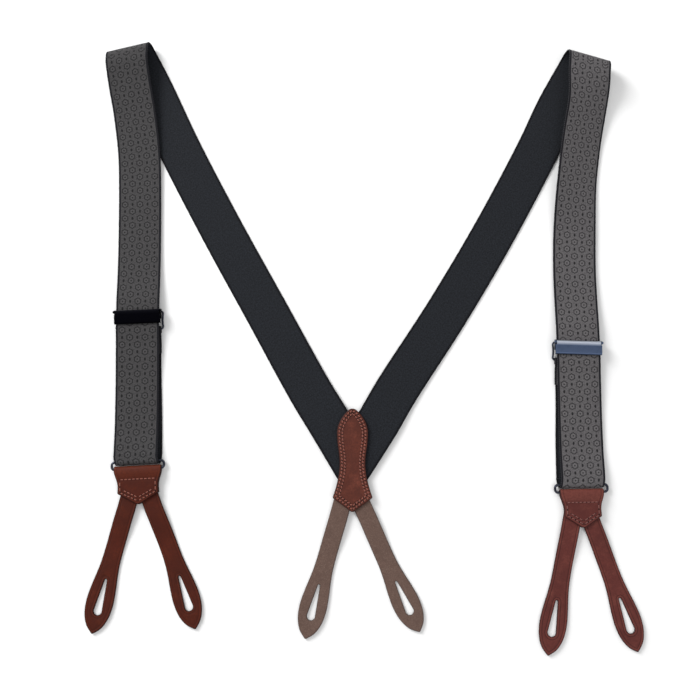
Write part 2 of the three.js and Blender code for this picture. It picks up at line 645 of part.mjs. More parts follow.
function adjusterLever() {
  const knuckle = new THREE.Shape();
  knuckle.absarc(0, Z_PIN, KNUCKLE_RADIUS, 0, 2 * Math.PI, false);
  const bore = new THREE.Path();
  bore.absarc(0, Z_PIN, PIN_RADIUS + PIN_CLEARANCE, 0, 2 * Math.PI, true);
  knuckle.holes.push(bore);
  const knuckleWidth = 2 * (FRAME_INSIDE - GAP);
  const foot = KNUCKLE_RADIUS - LEVER_LENGTH;
  const face = Z_PIN + KNUCKLE_RADIUS;
  const low = Z_PIN - KNUCKLE_RADIUS + 0.1;
  const sheet = new THREE.Shape(); // from the knuckle down to a turned edge
  sheet.moveTo(-0.75, face - 0.25);
  sheet.lineTo(foot + 1, face - 0.55);
  sheet.quadraticCurveTo(foot, face - 0.6, foot, face - 1.5);
  sheet.lineTo(foot, low);
  sheet.lineTo(foot + LEVER_SHEET, low);
  sheet.lineTo(foot + LEVER_SHEET, face - 1.5);
  sheet.lineTo(-0.75, face - 0.25 - LEVER_SHEET);
  const bridge = carriedAcross(sheet, knuckleWidth);
  const cheekRoom = 1.9 + GAP; // the wide part of the plate starts below the cheeks
  const wide = carriedAcross(sheet, 2 * FRAME_OUTSIDE - GAP);
  const plate = overlap(wide, block(-WEB_WIDTH, WEB_WIDTH, -2 * LEVER_LENGTH, -cheekRoom, 0, 40));
  const pitch = (WEB_WIDTH - 1) / TOOTH_COUNT;
  const teeth = new THREE.Shape();
  const toothTip = Z_AT_ADJUSTER + WEB_THICK / 2 + 0.06;
  const toothBase = toothTip + 0.5;
  teeth.moveTo(-WEB_WIDTH / 2 + 0.5, toothBase + 0.15);
  for (let i = 0; i < TOOTH_COUNT; i++) {
    const x = -WEB_WIDTH / 2 + 0.5 + i * pitch;
    teeth.lineTo(x, toothBase);
    teeth.lineTo(x + pitch / 2, toothTip);
  }
  teeth.lineTo(WEB_WIDTH / 2 - 0.5, toothBase);
  teeth.lineTo(WEB_WIDTH / 2 - 0.5, toothBase + 0.15);
  const toothStrip = new THREE.ExtrudeGeometry(teeth, { depth: 0.7, bevelEnabled: false })
    .translate(0, 0, -0.35).rotateX(Math.PI / 2);
  return join(carriedAcross(knuckle, knuckleWidth), bridge, plate, toothStrip);
}

// The wire loop that the hem is sewn round, waisted where the strap's edge passes.
function adjusterWireLoop() {
  const width = WEB_WIDTH + 2 * GAP + LOOP_WIRE + 0.8;
  const height = LOOP_HEIGHT - LOOP_WIRE;
  const middle = (LOOP_TOP_Y + LOOP_BOTTOM_Y) / 2;
  const points = roundedRectangle(0, middle, width, height, 2.2);
  const waist = 0.5;
  const half = points.length / 2;
  points.splice(half, 0, [-width / 2 + waist, middle]);
  points.splice(0, 0, [width / 2 - waist, middle]);
  return wireRing(points, LOOP_WIRE, Z_LOOP);
}

function adjuster(side) {
  const layout = LAYOUT[side];
  const { pin, lean } = legFrame(side);
  const group = new THREE.Group();
  group.name = `${side}_adjuster_group`;
  group.position.copy(pin);
  group.rotation.z = lean + rad(layout.adjusterTilt);
  group.add(mesh(`${side}_adjuster_frame`, adjusterFrame(), darkNickel()));
  group.add(mesh(`${side}_adjuster_pin`, adjusterPin(), darkNickel()));
  group.add(mesh(`${side}_adjuster_lever`, adjusterLever(), darkNickel()));
  const shifted = new THREE.Group();
  shifted.position.x = layout.inboard * LOOP_SHIFT;
  shifted.add(mesh(`${side}_adjuster_wire_loop`, adjusterWireLoop(), darkNickel()));
  shifted.add(mesh(`${side}_webbing_hem`, hemWebbing(), webbingInner()));
  group.add(shifted);
  return group;
}

// ---------- ring, tab and ears of one strap ----------
function strapEnd(side) {
  const layout = LAYOUT[side];
  const { bar, lean } = legFrame(side);
  const group = new THREE.Group();
  group.name = `${side}_ring_group`;
  group.position.copy(bar);
  group.rotation.z = lean + rad(layout.ringTilt);
  const turn = ringTurnWebbing(layout).translate(0, 0, Z_BAR);
  group.add(mesh(`${side}_ring_webbing`, turn, webbingOuter()));

  const inside = WEB_WIDTH + RETURN_SHIFT + 2 * RING_SIDE_CLEARANCE;
  const centre = (layout.inboard * RETURN_SHIFT) / 2;
  const outline = roundedRectangle(centre, -RING_BAR_SPACING / 2, inside + RING_WIRE,
    RING_BAR_SPACING, RING_CORNER);
  group.add(mesh(`${side}_strap_ring`, wireRing(outline, RING_WIRE, Z_BAR), darkNickel()));

  const tab = new THREE.Group();
  tab.name = `${side}_tab_group`;
  tab.position.set(centre, -RING_BAR_SPACING, 0);
  const leather = () => material(tabLeatherColor[side], 0.5);
  tab.add(mesh(`${side}_tab_leather`, tabLeather(TAB_TOP_WIDTH[side]), leather()));
  for (const [which, ear] of Object.entries(EARS[side]))
    tab.add(mesh(`${side}_ear_${which}`, placedEar(ear, FRONT_EAR_REACH), leather()));
  group.add(tab);
  return group;
}

function strap(side) {
  const group = new THREE.Group();
  const layout = LAYOUT[side];
  group.add(mesh(`${side}_back_webbing`, backWebbing(layout), webbingInner()));
  group.add(mesh(`${side}_shoulder_fold`, shoulderFold(layout), webbingOuter()));
  group.add(mesh(`${side}_front_webbing`, frontWebbing(side), webbingOuter()));
  group.add(mesh(`${side}_lower_front_webbing`, lowerFrontWebbing(side), webbingOuter()));
  group.add(mesh(`${side}_return_webbing`, returnWebbing(side), webbingInner()));
  group.add(adjuster(side));
  group.add(strapEnd(side));
  return group;
}

const suspenders = new THREE.Group();
suspenders.add(crossPatch(), strap("left"), strap("right"));

// The origin is under the middle of the whole object, on the surface it lies on.
const bounds = new THREE.Box3().setFromObject(suspenders, true);
const middle = bounds.getCenter(new THREE.Vector3());
suspenders.position.set(-middle.x, -middle.y, -bounds.min.z);

export default suspenders;
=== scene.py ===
import math

import bpy
import numpy as np
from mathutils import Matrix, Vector, geometry


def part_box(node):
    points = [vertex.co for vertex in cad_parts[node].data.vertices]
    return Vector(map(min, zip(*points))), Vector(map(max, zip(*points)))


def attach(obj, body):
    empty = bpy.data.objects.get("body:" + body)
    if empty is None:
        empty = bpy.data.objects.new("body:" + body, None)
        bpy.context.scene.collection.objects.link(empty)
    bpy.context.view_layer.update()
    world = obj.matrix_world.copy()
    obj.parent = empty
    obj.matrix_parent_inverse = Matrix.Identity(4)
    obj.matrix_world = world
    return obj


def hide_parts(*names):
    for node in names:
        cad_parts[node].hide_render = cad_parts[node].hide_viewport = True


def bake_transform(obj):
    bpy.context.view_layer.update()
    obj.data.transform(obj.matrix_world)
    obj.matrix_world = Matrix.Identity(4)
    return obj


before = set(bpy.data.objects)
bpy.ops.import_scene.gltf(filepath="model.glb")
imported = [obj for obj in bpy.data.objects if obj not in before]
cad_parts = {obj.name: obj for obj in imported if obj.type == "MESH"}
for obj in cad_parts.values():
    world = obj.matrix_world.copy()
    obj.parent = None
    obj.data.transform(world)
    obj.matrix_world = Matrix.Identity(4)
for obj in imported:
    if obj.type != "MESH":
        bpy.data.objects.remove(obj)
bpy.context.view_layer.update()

# ---- sizes, in millimetres
# They are the CAD's own. Heights, Z_..., are those of a middle plane or an axis above the table.
WEB_WIDTH, WEB_THICK, GAP = 35.0, 1.2, 0.3
HALF_WEB = WEB_WIDTH / 2
PLY, EAR = 1.5, 1.8  # thickness of a folded leather and of an ear
EAR_ROOT = 24.0  # the length of an ear that its tab or patch holds
REACH = {"front": 98.5, "back": 94.2}  # the rest of an ear, to its tip
EAR_HALF, EAR_STEM_HALF = 10.7, 7.2
SLOT_FROM_TIP, SLOT_LENGTH, SLOT_END_R, SLOT_TOP_R = 14.6, 28.0, 3.1, 0.8
RING_WIRE, RING_SPACING, RING_CORNER, RING_SIDE = 2.0, 5.9, 2.4, 0.7
RETURN_SHIFT, LOOP_SHIFT = 3.0, 0.9  # how far inboard the return webbing and its hem lie
LOOP_WIRE, LOOP_HEIGHT, LOOP_TOP = 1.6, 16.3, 0.4
LEVER_LENGTH, SHEET_METAL, KNUCKLE_R, TEETH = 11.2, 0.8, 1.25, 14
CHEEK_X = HALF_WEB + 0.5
HEM_LENGTH, HEM_STRAIGHT, RING_STRAIGHT, CUT_ABOVE_PIN = 20.0, 3.0, 5.0, 6.0
TAB_LENGTH, PATCH_LENGTH, PATCH_BOTTOM = 27.7, 81.5, -129.5
TAB_ROW = 8.0  # from the ring's bar down to the row of stitches across the tab
BACK_INTO_PATCH = 6  # where the back straps are cut, above the roots of the ears
BANK_LIFT = 0.22  # how much higher a banked strap's middle lies, for each degree
FRONT_GATHERS, BELOW_PIN, ABOVE_BAR = (190, 22), -16, 8  # places along the straps for blended lengths to stretch; they are worked out below but not used
HEM_ROWS, HEM_ROW_HALF = (13.0, 16.5), 15.5
# Length, gap and radius of a stitch, and how far it slants.
STITCHES = {"hem": (2.4, 0.7, 0.24), "tab": (2.2, 0.6, 0.36), "patch": (2.35, 0.35, 0.42, 0.42)}

RISE = WEB_THICK + GAP
Z_TABLE = WEB_THICK / 2
Z_SECOND = Z_TABLE + RISE
PLY_SPACE = EAR + 2 * GAP
Z_BAR = PLY + PLY_SPACE / 2
RING_TURN = Z_BAR - Z_TABLE
Z_AT_RING = Z_BAR + RING_TURN
Z_IN_PATCH = PLY + GAP + WEB_THICK / 2
LOOP_R = LOOP_WIRE / 2
Z_LOOP = WEB_THICK + GAP + LOOP_R
HEM_TURN = Z_LOOP - Z_TABLE
Z_HEM_TOP = Z_LOOP + HEM_TURN
Z_FRAME = Z_LOOP + LOOP_R + GAP
Z_AT_ADJUSTER = max(Z_FRAME + SHEET_METAL, Z_HEM_TOP + WEB_THICK / 2) + GAP + WEB_THICK / 2
Z_PIN = Z_AT_ADJUSTER + WEB_THICK / 2 + GAP + KNUCKLE_R
LOOP_BOTTOM = LOOP_TOP - (LOOP_HEIGHT - LOOP_WIRE)

# Each strap: its fold, the middle lines of its back and front, and its straight lower part from
# top to bar. Angles and tilts are in degrees. phase shifts the fray and the weave.
SIDES = {
    "left": dict(
        phase=1, inboard=1, fold=(-183.9, 250.8), angle=14, radius=6.5, bank=0, ring_y=120.4,
        back=[(8, -103), (-18.6, -58.7), (-34.1, -33.3), (-70.5, 32.6), (-107.9, 100.2),
              (-144.3, 169.8), (-169.6, 223.2)],
        front=[(-186.5, 226), (-182, 200), (-177.5, 165), (-176, 135)],
        top=(-174.6, 78), bar=(-171.8, -90), adjuster_tilt=1.6, ring_tilt=2, tab_width=37.6,
    ),
    "right": dict(
        phase=2, inboard=-1, fold=(193.1, 242.3), angle=-17, radius=7.5, bank=14, ring_y=113.2,
        back=[(-8, -103), (20, -59.5), (34.8, -34.1), (77.6, 31.9), (118, 99.9),
              (155.3, 169.7), (172.3, 205.2)],
        front=[(196.5, 212), (190.5, 175), (185, 134), (182.5, 92)],
        top=(181.6, 62), bar=(182.1, -108.1), adjuster_tilt=-2, ring_tilt=1, tab_width=34.6,
    ),
}
# Each ear: where it leaves its tab or patch, its heading in degrees and its bow.
EARS = {
    "left": {"outer": ((-9.8, -30.8), -16.8, -0.8), "inner": ((12, -31.8), 17.7, 1.4)},
    "right": {"inner": ((-10.4, -28.4), -13, -0.4), "outer": ((8.3, -28.8), 17, 0.8)},
    "back": {"left": ((-11.7, -6.2), -15.4, -0.6), "right": ((12.7, -6.2), 24.7, -0.6)},
}

patch_low, patch_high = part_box("cross_patch_under")
ORIGIN = np.array([(patch_low.x + patch_high.x) / 2, patch_low.y - PATCH_BOTTOM / 1000, 0])


def metres(points):
    return np.asarray(points, float) / 1000 + ORIGIN


def ramp(x, a, b):
    """0 up to a, 1 from b on, smooth between."""
    t = np.clip((np.asarray(x, float) - a) / (b - a), 0, 1)
    return t * t * (3 - 2 * t)


def unit(v):
    v = np.asarray(v, float)
    return v / np.linalg.norm(v, axis=-1, keepdims=True)


def turn(angle):
    """Rows of a plan rotation by an angle in radians."""
    c, s = math.cos(angle), math.sin(angle)
    return np.array([[c, s, 0], [-s, c, 0], [0, 0, 1]])


def placed(points, origin, angle):
    """Local millimetres to the whole object's millimetres."""
    o = np.array([origin[0], origin[1], origin[2] if len(origin) > 2 else 0])
    return np.asarray(points, float) @ turn(angle) + o


# ---- materials
class Graph:
    """A material's nodes, written as arithmetic."""

    def __init__(self, name):
        self.material = bpy.data.materials.new(name)
        self.material.use_nodes = True
        self.tree = self.material.node_tree
        self.shader = self.tree.nodes["Principled BSDF"]

    def put(self, socket, value):
        if isinstance(value, bpy.types.NodeSocket):
            self.tree.links.new(value, socket)
        elif socket.type == "RGBA":
            socket.default_value = (*value, 1) if len(value) == 3 else value
        else:
            socket.default_value = value

    def node(self, kind, out=0, settings=None, **inputs):
        n = self.tree.nodes.new(kind)
        for key, value in (settings or {}).items():
            setattr(n, key, value)
        for key, value in inputs.items():
            self.put(n.inputs[int(key[1:])] if key[0] == "_" else n.inputs[key], value)
        return n.outputs[out]

    def math(self, op, *args, clamp=False):
        n = self.tree.nodes.new("ShaderNodeMath")
        n.operation, n.use_clamp = op, clamp
        for socket, value in zip(n.inputs, args):
            self.put(socket, value)
        return n.outputs[0]

    def add(self, a, b): return self.math("ADD", a, b)
    def sub(self, a, b): return self.math("SUBTRACT", a, b)
    def mul(self, a, b): return self.math("MULTIPLY", a, b)
    def most(self, a, b): return self.math("MAXIMUM", a, b)
    def size(self, a): return self.math("ABSOLUTE", a)

    def step(self, value, a, b):
        """0 below a, 1 above b, smooth between; a may be above b."""
        flip = a > b
        n = self.tree.nodes.new("ShaderNodeMapRange")
        n.interpolation_type = "SMOOTHSTEP"
        self.put(n.inputs["Value"], value)
        limits = {"From Min": min(a, b), "From Max": max(a, b),
                  "To Min": 1 if flip else 0, "To Max": 0 if flip else 1}
        for key, limit in limits.items():
            n.inputs[key].default_value = limit
        return n.outputs[0]

    def stripe(self, value, at, outer, inner):
        """1 where the value is within inner of at, and 0 where it is further than outer."""
        return self.step(self.size(self.sub(value, at)), outer, inner)

    def mix(self, share, a, b, blend="MIX"):
        n = self.tree.nodes.new("ShaderNodeMix")
        n.data_type, n.blend_type = "RGBA", blend
        self.put(n.inputs[0], share)
        self.put(n.inputs[6], a)
        self.put(n.inputs[7], b)
        return n.outputs[2]

    def layers(self, color, *over):
        """Colours laid over one another, each as its mask, its strength and its colour."""
        for mask, strength, tone in over:
            color = self.mix(self.mul(mask, strength), color, tone)
        return color

    def noise(self, vector, scale, detail=2.0, rough=0.5):
        return self.node("ShaderNodeTexNoise", Vector=vector, Scale=scale, Detail=detail,
                         Roughness=rough)

    def uv(self):
        n = self.tree.nodes.new("ShaderNodeUVMap")
        split = self.tree.nodes.new("ShaderNodeSeparateXYZ")
        self.tree.links.new(n.outputs[0], split.inputs[0])
        return n.outputs[0], split.outputs[0], split.outputs[1]

    def scaled(self, vector, x, y, z=1.0):
        n = self.tree.nodes.new("ShaderNodeMapping")
        self.tree.links.new(vector, n.inputs["Vector"])
        n.inputs["Scale"].default_value = (x, y, z)
        return n.outputs[0]

    def attribute(self, name):
        n = self.tree.nodes.new("ShaderNodeAttribute")
        n.attribute_name = name
        return n.outputs["Fac"]

    def rest(self):
        """Coordinates that stay with the surface, in metres."""
        return self.node("ShaderNodeTexCoord", out=3)

    def bump(self, height, strength, distance):
        out = self.node("ShaderNodeBump", Strength=strength, Distance=distance, Height=height)
        self.put(self.shader.inputs["Normal"], out)

    def set(self, **values):
        for key, value in values.items():
            self.put(self.shader.inputs[key.replace("_", " ")], value)
        return self.material


def srgb(r, g, b):
    """A screen colour, 0 to 255, as linear light."""
    return tuple((c / 255 / 12.92) if c <= 10 else ((c / 255 + 0.055) / 1.055) ** 2.4
                 for c in (r, g, b))


def times(color, factor):
    return tuple(c * factor for c in color)


def weave(g, uv, u, v, pitch):
    """A fine rib across the webbing: 0 in the furrows, 1 on the yarns."""
    rows = g.math("SINE", g.mul(v, 2 * math.pi / pitch))
    cols = g.math("SINE", g.mul(u, 2 * math.pi / (pitch * 1.15)))
    wobble = g.noise(g.scaled(uv, 1.1, 1.1), 1.0, 3.0, 0.6)
    both = g.mul(rows, cols)
    return g.add(g.mul(both, 0.28), g.add(0.22, g.mul(wobble, 0.56)))


def outer_webbing(name, ground, motif, edge, tint):
    """Columns of dashed hexagons, each with a centre and a halo, and small ovals between them."""
    g = Graph(name)
    uv, u, v = g.uv()
    pitch, repeat = 6.15, 11.8  # of the hexagons, across the strap and along it
    ring_at, halo_at, dashes = 2.3, 1.15, 12
    oval_half_width, oval_half_length = 0.8, 1.3
    border = 15.8  # from the middle line to the plain edge
    x = g.math("WRAP", u, pitch / 2, -pitch / 2)
    parity = g.math("FLOORED_MODULO", g.math("ROUND", g.mul(g.sub(u, x), 1 / pitch)), 2.0)
    shifted = g.add(v, g.mul(parity, repeat / 2))
    y = g.math("WRAP", shifted, repeat / 2, -repeat / 2)
    y_between = g.math("WRAP", g.add(shifted, repeat / 2), repeat / 2, -repeat / 2)
    wobble = g.mul(g.sub(g.noise(g.scaled(uv, 1.6, 1.6), 1.0, 2.0), 0.5), 0.42)
    ax, ay = g.size(x), g.size(y)
    hexagon = g.add(g.most(ax, g.add(g.mul(ax, 0.5), g.mul(ay, 0.866))), wobble)
    ring = g.stripe(hexagon, ring_at, 0.6, 0.2)
    angle = g.math("ARCTAN2", y, x)
    dash = g.step(g.math("COSINE", g.mul(angle, dashes)), -0.9, 0.3)
    ring = g.mul(ring, g.add(0.42, g.mul(dash, 0.55)))
    centre = g.step(hexagon, 0.72, 0.42)
    halo = g.mul(g.stripe(hexagon, halo_at, 0.5, 0.1), 0.4)
    oval = g.add(g.math("POWER", g.mul(ax, 1 / oval_half_width), 2.0),
                 g.math("POWER", g.mul(g.size(y_between), 1 / oval_half_length), 2.0))
    oval = g.step(oval, 1.35, 0.65)
    figure = g.most(g.most(ring, g.mul(centre, 0.85)), g.mul(oval, 0.92))
    inside = g.step(g.size(u), border + 0.1, border - 0.2)
    figure = g.mul(figure, inside)
    yarn = weave(g, uv, u, v, 0.62)
    cloudy = g.noise(g.scaled(uv, 0.05, 0.02), 1.0, 2.0)
    fleck = g.step(g.noise(g.scaled(uv, 0.9, 0.9), 1.0, 2.0, 0.8), 0.36, 0.64)
    tone = g.add(g.mul(yarn, 0.5), g.mul(fleck, 0.5))
    ground_color = g.mix(tone, times(ground, 0.52), times(ground, 1.5))
    ground_color = g.mix(g.mul(cloudy, 0.5), ground_color, tint, "MULTIPLY")
    ground_color = g.mix(halo, ground_color, times(ground, 1.55))
    color = g.mix(figure, ground_color, g.mix(yarn, times(motif, 0.6), motif))
    color = g.mix(g.step(g.size(u), border - 0.2, border + 0.15), color, edge)
    # Light specks where the weft turns round the outermost cord.
    speck = g.step(g.math("SINE", g.mul(v, 2 * math.pi / 1.6)), 0.3, 0.85)
    rim = g.step(g.size(u), 16.9, 17.2)
    color = g.mix(g.mul(g.mul(speck, rim), 0.3), color, ground)
    height = g.add(g.mul(yarn, 0.7), g.mul(figure, -0.35))
    height = g.add(height, g.mul(g.stripe(g.size(u), border, 0.25, 0.05), -0.6))
    g.bump(height, 0.55, 0.00022)
    return g.set(Base_Color=color, Roughness=g.add(0.72, g.mul(yarn, 0.16)),
                 Sheen_Weight=0.02, Sheen_Roughness=0.5, Specular_IOR_Level=0.2)


def inner_webbing(name, ground, edge):
    """The plain dark side: a fine weave with fleck and a ribbed bump."""
    g = Graph(name)
    uv, u, v = g.uv()
    fine = weave(g, uv, u, v, 0.9)
    grain = g.noise(g.scaled(uv, 0.95, 0.8), 1.0, 3.0, 0.8)
    streak = g.noise(g.scaled(uv, 0.9, 0.05), 1.0, 2.0)
    rib = g.math("SINE", g.mul(u, 2 * math.pi / 2.4))
    fleck = g.mul(g.step(grain, 0.34, 0.66), 0.72)
    tone = g.add(g.mul(fine, 0.3), g.add(fleck, g.mul(streak, 0.12)))
    color = g.mix(tone, times(ground, 0.22), times(ground, 2.3))
    color = g.mix(g.mul(g.step(g.size(u), 15.4, 15.9), 0.85), color, edge)
    height = g.add(g.mul(tone, 0.8), g.mul(rib, 0.07))
    g.bump(height, 0.6, 0.00025)
    return g.set(Base_Color=color, Roughness=0.86, Sheen_Weight=0.02, Sheen_Roughness=0.6,
                 Specular_IOR_Level=0.15)


def smooth_leather(name, base, dark, wear_and_highlight, rough=0.46, crease=0.0):
    """Finished leather. edge_mm is the distance from its cut edge, which is burnt dark; crease is
    how dark the line along the edge is, and band marks where the leather bends and wears. The
    lighter colour is real wear, and also a painted highlight in a line along the rounded edge."""
    g = Graph(name)
    crease_at = 2.35
    p = g.rest()
    edge = g.attribute("edge_mm")
    broad = g.noise(p, 38.0, 3.0, 0.55)
    cloud = g.noise(p, 120.0, 4.0, 0.6)
    pores = g.node("ShaderNodeTexVoronoi", settings={"feature": "DISTANCE_TO_EDGE"},
                   Vector=p, Scale=1150.0)
    fibres = g.noise(p, 2600.0, 3.0, 0.6)
    grain = g.noise(p, 700.0, 3.0, 0.7)
    burnt = times(dark, 0.28)
    color = g.layers(g.mix(g.step(broad, 0.2, 0.75), dark, base),
                     (g.step(cloud, 0.45, 0.75), 0.32, wear_and_highlight), (g.attribute("band"), 0.38, wear_and_highlight),
                     (g.step(grain, 0.4, 0.65), 0.6, dark),
                     (g.step(fibres, 0.55, 0.8), 0.25, wear_and_highlight),
                     (g.step(edge, 0.95, 0.15), 0.88, burnt),
                     # Painted highlight: a lighter line 1.35 mm in from the edge, where the
                     # rounded edge catches the light.
                     (g.stripe(edge, 1.35, 0.45, 0.1), 0.22, wear_and_highlight))
    if crease:
        color = g.layers(color, (g.stripe(edge, crease_at, 0.34, 0.08), crease, burnt))
    pore = g.step(pores, 0.0, 0.2)
    height = g.add(g.mul(pore, 0.5), g.add(g.mul(fibres, 0.35), g.mul(broad, 0.6)))
    g.bump(height, 0.42, 0.00016)
    return g.set(Base_Color=color, Roughness=g.add(rough, g.mul(cloud, 0.2)),
                 Specular_IOR_Level=0.14)


def suede_leather(name, base, dark, light):
    g = Graph(name)
    p = g.rest()
    edge = g.attribute("edge_mm")
    nap = g.noise(p, 1500.0, 6.0, 0.75)
    patchy = g.noise(p, 190.0, 4.0, 0.65)
    tufts = g.noise(p, 900.0, 5.0, 0.7)
    color = g.layers(g.mix(g.step(nap, 0.3, 0.72), dark, base),
                     (g.step(tufts, 0.5, 0.75), 0.4, light),
                     (g.step(patchy, 0.42, 0.66), 0.35, dark),
                     (g.step(edge, 0.8, 0.1), 0.8, times(dark, 0.35)))
    g.bump(g.add(nap, g.mul(tufts, 0.8)), 0.7, 0.0003)
    return g.set(Base_Color=color, Roughness=0.93, Sheen_Weight=0.25, Sheen_Roughness=0.5,
                 Specular_IOR_Level=0.15)


def plated(name, color, knuckle_highlight, rough, lines):
    """Plated steel. The third argument is a painted highlight colour, used where band is 1, and
    lines is how strongly it is brushed.
    """
    g = Graph(name)
    p = g.rest()
    brushed = g.noise(g.scaled(p, 60.0, 2500.0, 2500.0), 1.0, 3.0, 0.6)
    spots = g.noise(p, 300.0, 3.0, 0.6)
    tone = g.mix(g.mul(g.step(spots, 0.45, 0.75), 0.35), color, times(color, 0.6))
    # Painted highlight: the lever is made lighter on the upper side of its knuckle, where it wraps
    # round its pin.
    tone = g.mix(g.attribute("band"), tone, knuckle_highlight)
    g.bump(brushed, lines, 0.00004)
    return g.set(Base_Color=tone, Metallic=1.0,
                 Roughness=g.add(rough, g.mul(brushed, 0.14)))


def thread_material(name, color):
    g = Graph(name)
    _, u, v = g.uv()
    twist = g.math("SINE", g.add(g.mul(u, 2 * math.pi / 0.55), g.mul(v, 6.28)))
    fuzz = g.noise(g.rest(), 2200.0, 2.0)
    tone = g.mix(g.step(twist, -0.6, 0.6), times(color, 0.45), color)
    tone = g.mix(g.mul(fuzz, 0.3), tone, tuple(min(c * 1.6, 1) for c in color))
    g.bump(twist, 0.5, 0.00012)
    return g.set(Base_Color=tone, Roughness=0.6, Sheen_Weight=0.2)


M = {
    "left_outer": outer_webbing("webbing_grey_left", srgb(57, 56, 57), srgb(7, 7, 9),
                                srgb(7, 7, 14), srgb(225, 220, 222)),
    "right_outer": outer_webbing("webbing_grey_right", srgb(82, 80, 81), srgb(12, 11, 14),
                                 srgb(9, 9, 16), srgb(225, 220, 226)),
    "inner": inner_webbing("webbing_inner_dark", srgb(19, 21, 25), srgb(4, 4, 9)),
    "left_leather": smooth_leather("leather_dark_brown", srgb(68, 20, 5), srgb(56, 16, 4),
                                   srgb(92, 36, 14), 0.5, 0.35),
    "right_leather": smooth_leather("leather_red_brown", srgb(88, 41, 36), srgb(72, 32, 29),
                                    srgb(118, 66, 56), 0.5, 0.75),
    "patch_leather": smooth_leather("leather_patch", srgb(86, 41, 30), srgb(64, 30, 23),
                                    srgb(132, 70, 54), 0.44),
    "suede": suede_leather("leather_suede_side", srgb(102, 81, 72), srgb(76, 58, 51),
                           srgb(134, 116, 106)),
    # Both plates are the same dark nickel. The right one's blue-grey colour is a painted
    # reflection, and each third colour is a painted highlight on the lever's knuckle.
    "plate_left": plated("nickel_black_plate", srgb(5, 5, 9), srgb(12, 12, 17), 0.4, 0.35),
    "plate_right": plated("nickel_plate_painted_blue_reflection", srgb(74, 87, 112), srgb(172, 178, 190), 0.28, 0.3),
    "wire": plated("nickel_dark_wire", srgb(54, 56, 66), srgb(54, 56, 66), 0.24, 0.1),
    "thread_brown": thread_material("thread_brown", srgb(140, 74, 54)),
    "thread_red": thread_material("thread_red_brown", srgb(116, 62, 54)),
    "thread_dark": thread_material("thread_dark", srgb(34, 33, 42)),
    "thread_patch": thread_material("thread_patch", srgb(136, 70, 52)),
    # Dark domes of painted shade in the needle holes.
    "painted_hole_shade": smooth_leather("leather_painted_hole_shade", srgb(24, 10, 7), srgb(16, 7, 5),
                                  srgb(34, 15, 10)),
}


# ---- meshes
def linked(name, data):
    obj = bpy.data.objects.new(name, data)
    bpy.context.scene.collection.objects.link(obj)
    return obj


def mesh_object(name, points, faces, materials, index=None, uv=None, values=None, smooth=True):
    """Points in millimetres. uv is one pair for each point; values are numbers for each point."""
    data = bpy.data.meshes.new(name)
    data.from_pydata([tuple(p) for p in metres(points)], [], [list(map(int, f)) for f in faces])
    for m in materials:
        data.materials.append(m)
    if index is not None:
        data.polygons.foreach_set("material_index", np.asarray(index, np.int32))
    data.polygons.foreach_set("use_smooth", [smooth] * len(data.polygons))
    if uv is not None:
        layer = data.uv_layers.new(name="UVMap")
        loops = np.zeros(len(data.loops), np.int32)
        data.loops.foreach_get("vertex_index", loops)
        layer.data.foreach_set("uv", np.asarray(uv, np.float32)[loops].ravel())
    for key, numbers in (values or {}).items():
        a = data.attributes.new(key, "FLOAT", "POINT")
        a.data.foreach_set("value", np.asarray(numbers, np.float32))
    data.update()
    return linked(name, data)


def joined(parts):
    """Several (points, faces, uv) as one."""
    points, faces, uvs, start = [], [], [], 0
    for p, f, uv in parts:
        points.append(np.asarray(p))
        faces += [[i + start for i in face] for face in f]
        uvs.append(np.asarray(uv))
        start += len(p)
    return np.vstack(points), faces, np.vstack(uvs)


def tube_faces(rings, sides, closed=False):
    """Quads between rings of points; in a closed tube the last ring meets the first."""
    quads = []
    for j in range(rings if closed else rings - 1):
        a, b = j * sides, (j + 1) % rings * sides
        quads += [(a + i, a + (i + 1) % sides, b + (i + 1) % sides, b + i) for i in range(sides)]
    return quads


def spline(points, step):
    """A smooth curve through the points, even steps along it: places, directions, distances."""
    p = [np.asarray(q, float) for q in points]
    p = [2 * p[0] - p[1], *p, 2 * p[-1] - p[-2]]
    out = []
    for i in range(1, len(p) - 2):
        a, b, c, d = p[i - 1:i + 3]
        # Centripetal steps, so that uneven points make no loops.
        ab, bc, cd = (max(np.linalg.norm(w), 1e-6) ** 0.5 for w in (b - a, c - b, d - c))
        leaving = ((b - a) / ab - (c - a) / (ab + bc) + (c - b) / bc) * bc
        arriving = ((c - b) / bc - (d - b) / (bc + cd) + (d - c) / cd) * bc
        t = np.linspace(0, 1, 60, endpoint=False)[:, None]
        out.append((2 * t**3 - 3 * t**2 + 1) * b + (t**3 - 2 * t**2 + t) * leaving
                   + (3 * t**2 - 2 * t**3) * c + (t**3 - t**2) * arriving)
    out.append(p[-2][None])
    return even(np.vstack(out), step)


def even(line, step):
    """The same line with even steps: places, directions, distances."""
    gone = np.concatenate([[0], np.cumsum(np.linalg.norm(np.diff(line, axis=0), axis=1))])
    keep = np.concatenate([[True], np.diff(gone) > 1e-9])
    line, gone = line[keep], gone[keep]
    s = np.linspace(0, gone[-1], max(int(round(gone[-1] / step)), 2) + 1)
    at = np.stack([np.interp(s, gone, line[:, k]) for k in range(line.shape[1])], 1)
    return at, unit(np.gradient(at, s, axis=0)), s


# ---- webbing
# Columns of points, by distance from the edge: close round the selvedge and its furrow.
EDGE_STEPS = np.array([0, 0.08, 0.25, 0.5, 0.8, 1.45, 1.75, 2.05, 4, 7, 10.5, 14, HALF_WEB])
ACROSS = np.concatenate([EDGE_STEPS - HALF_WEB, (HALF_WEB - EDGE_STEPS)[-2::-1]])
EDGE_ROUND = 0.55
FURROW_AT, FURROW_WIDTH, FURROW_DEPTH = 1.75, 0.3, 0.05
FRAY_FROM, FRAY_FADE = 0.9, 4  # share of the half width; length without fray at each end


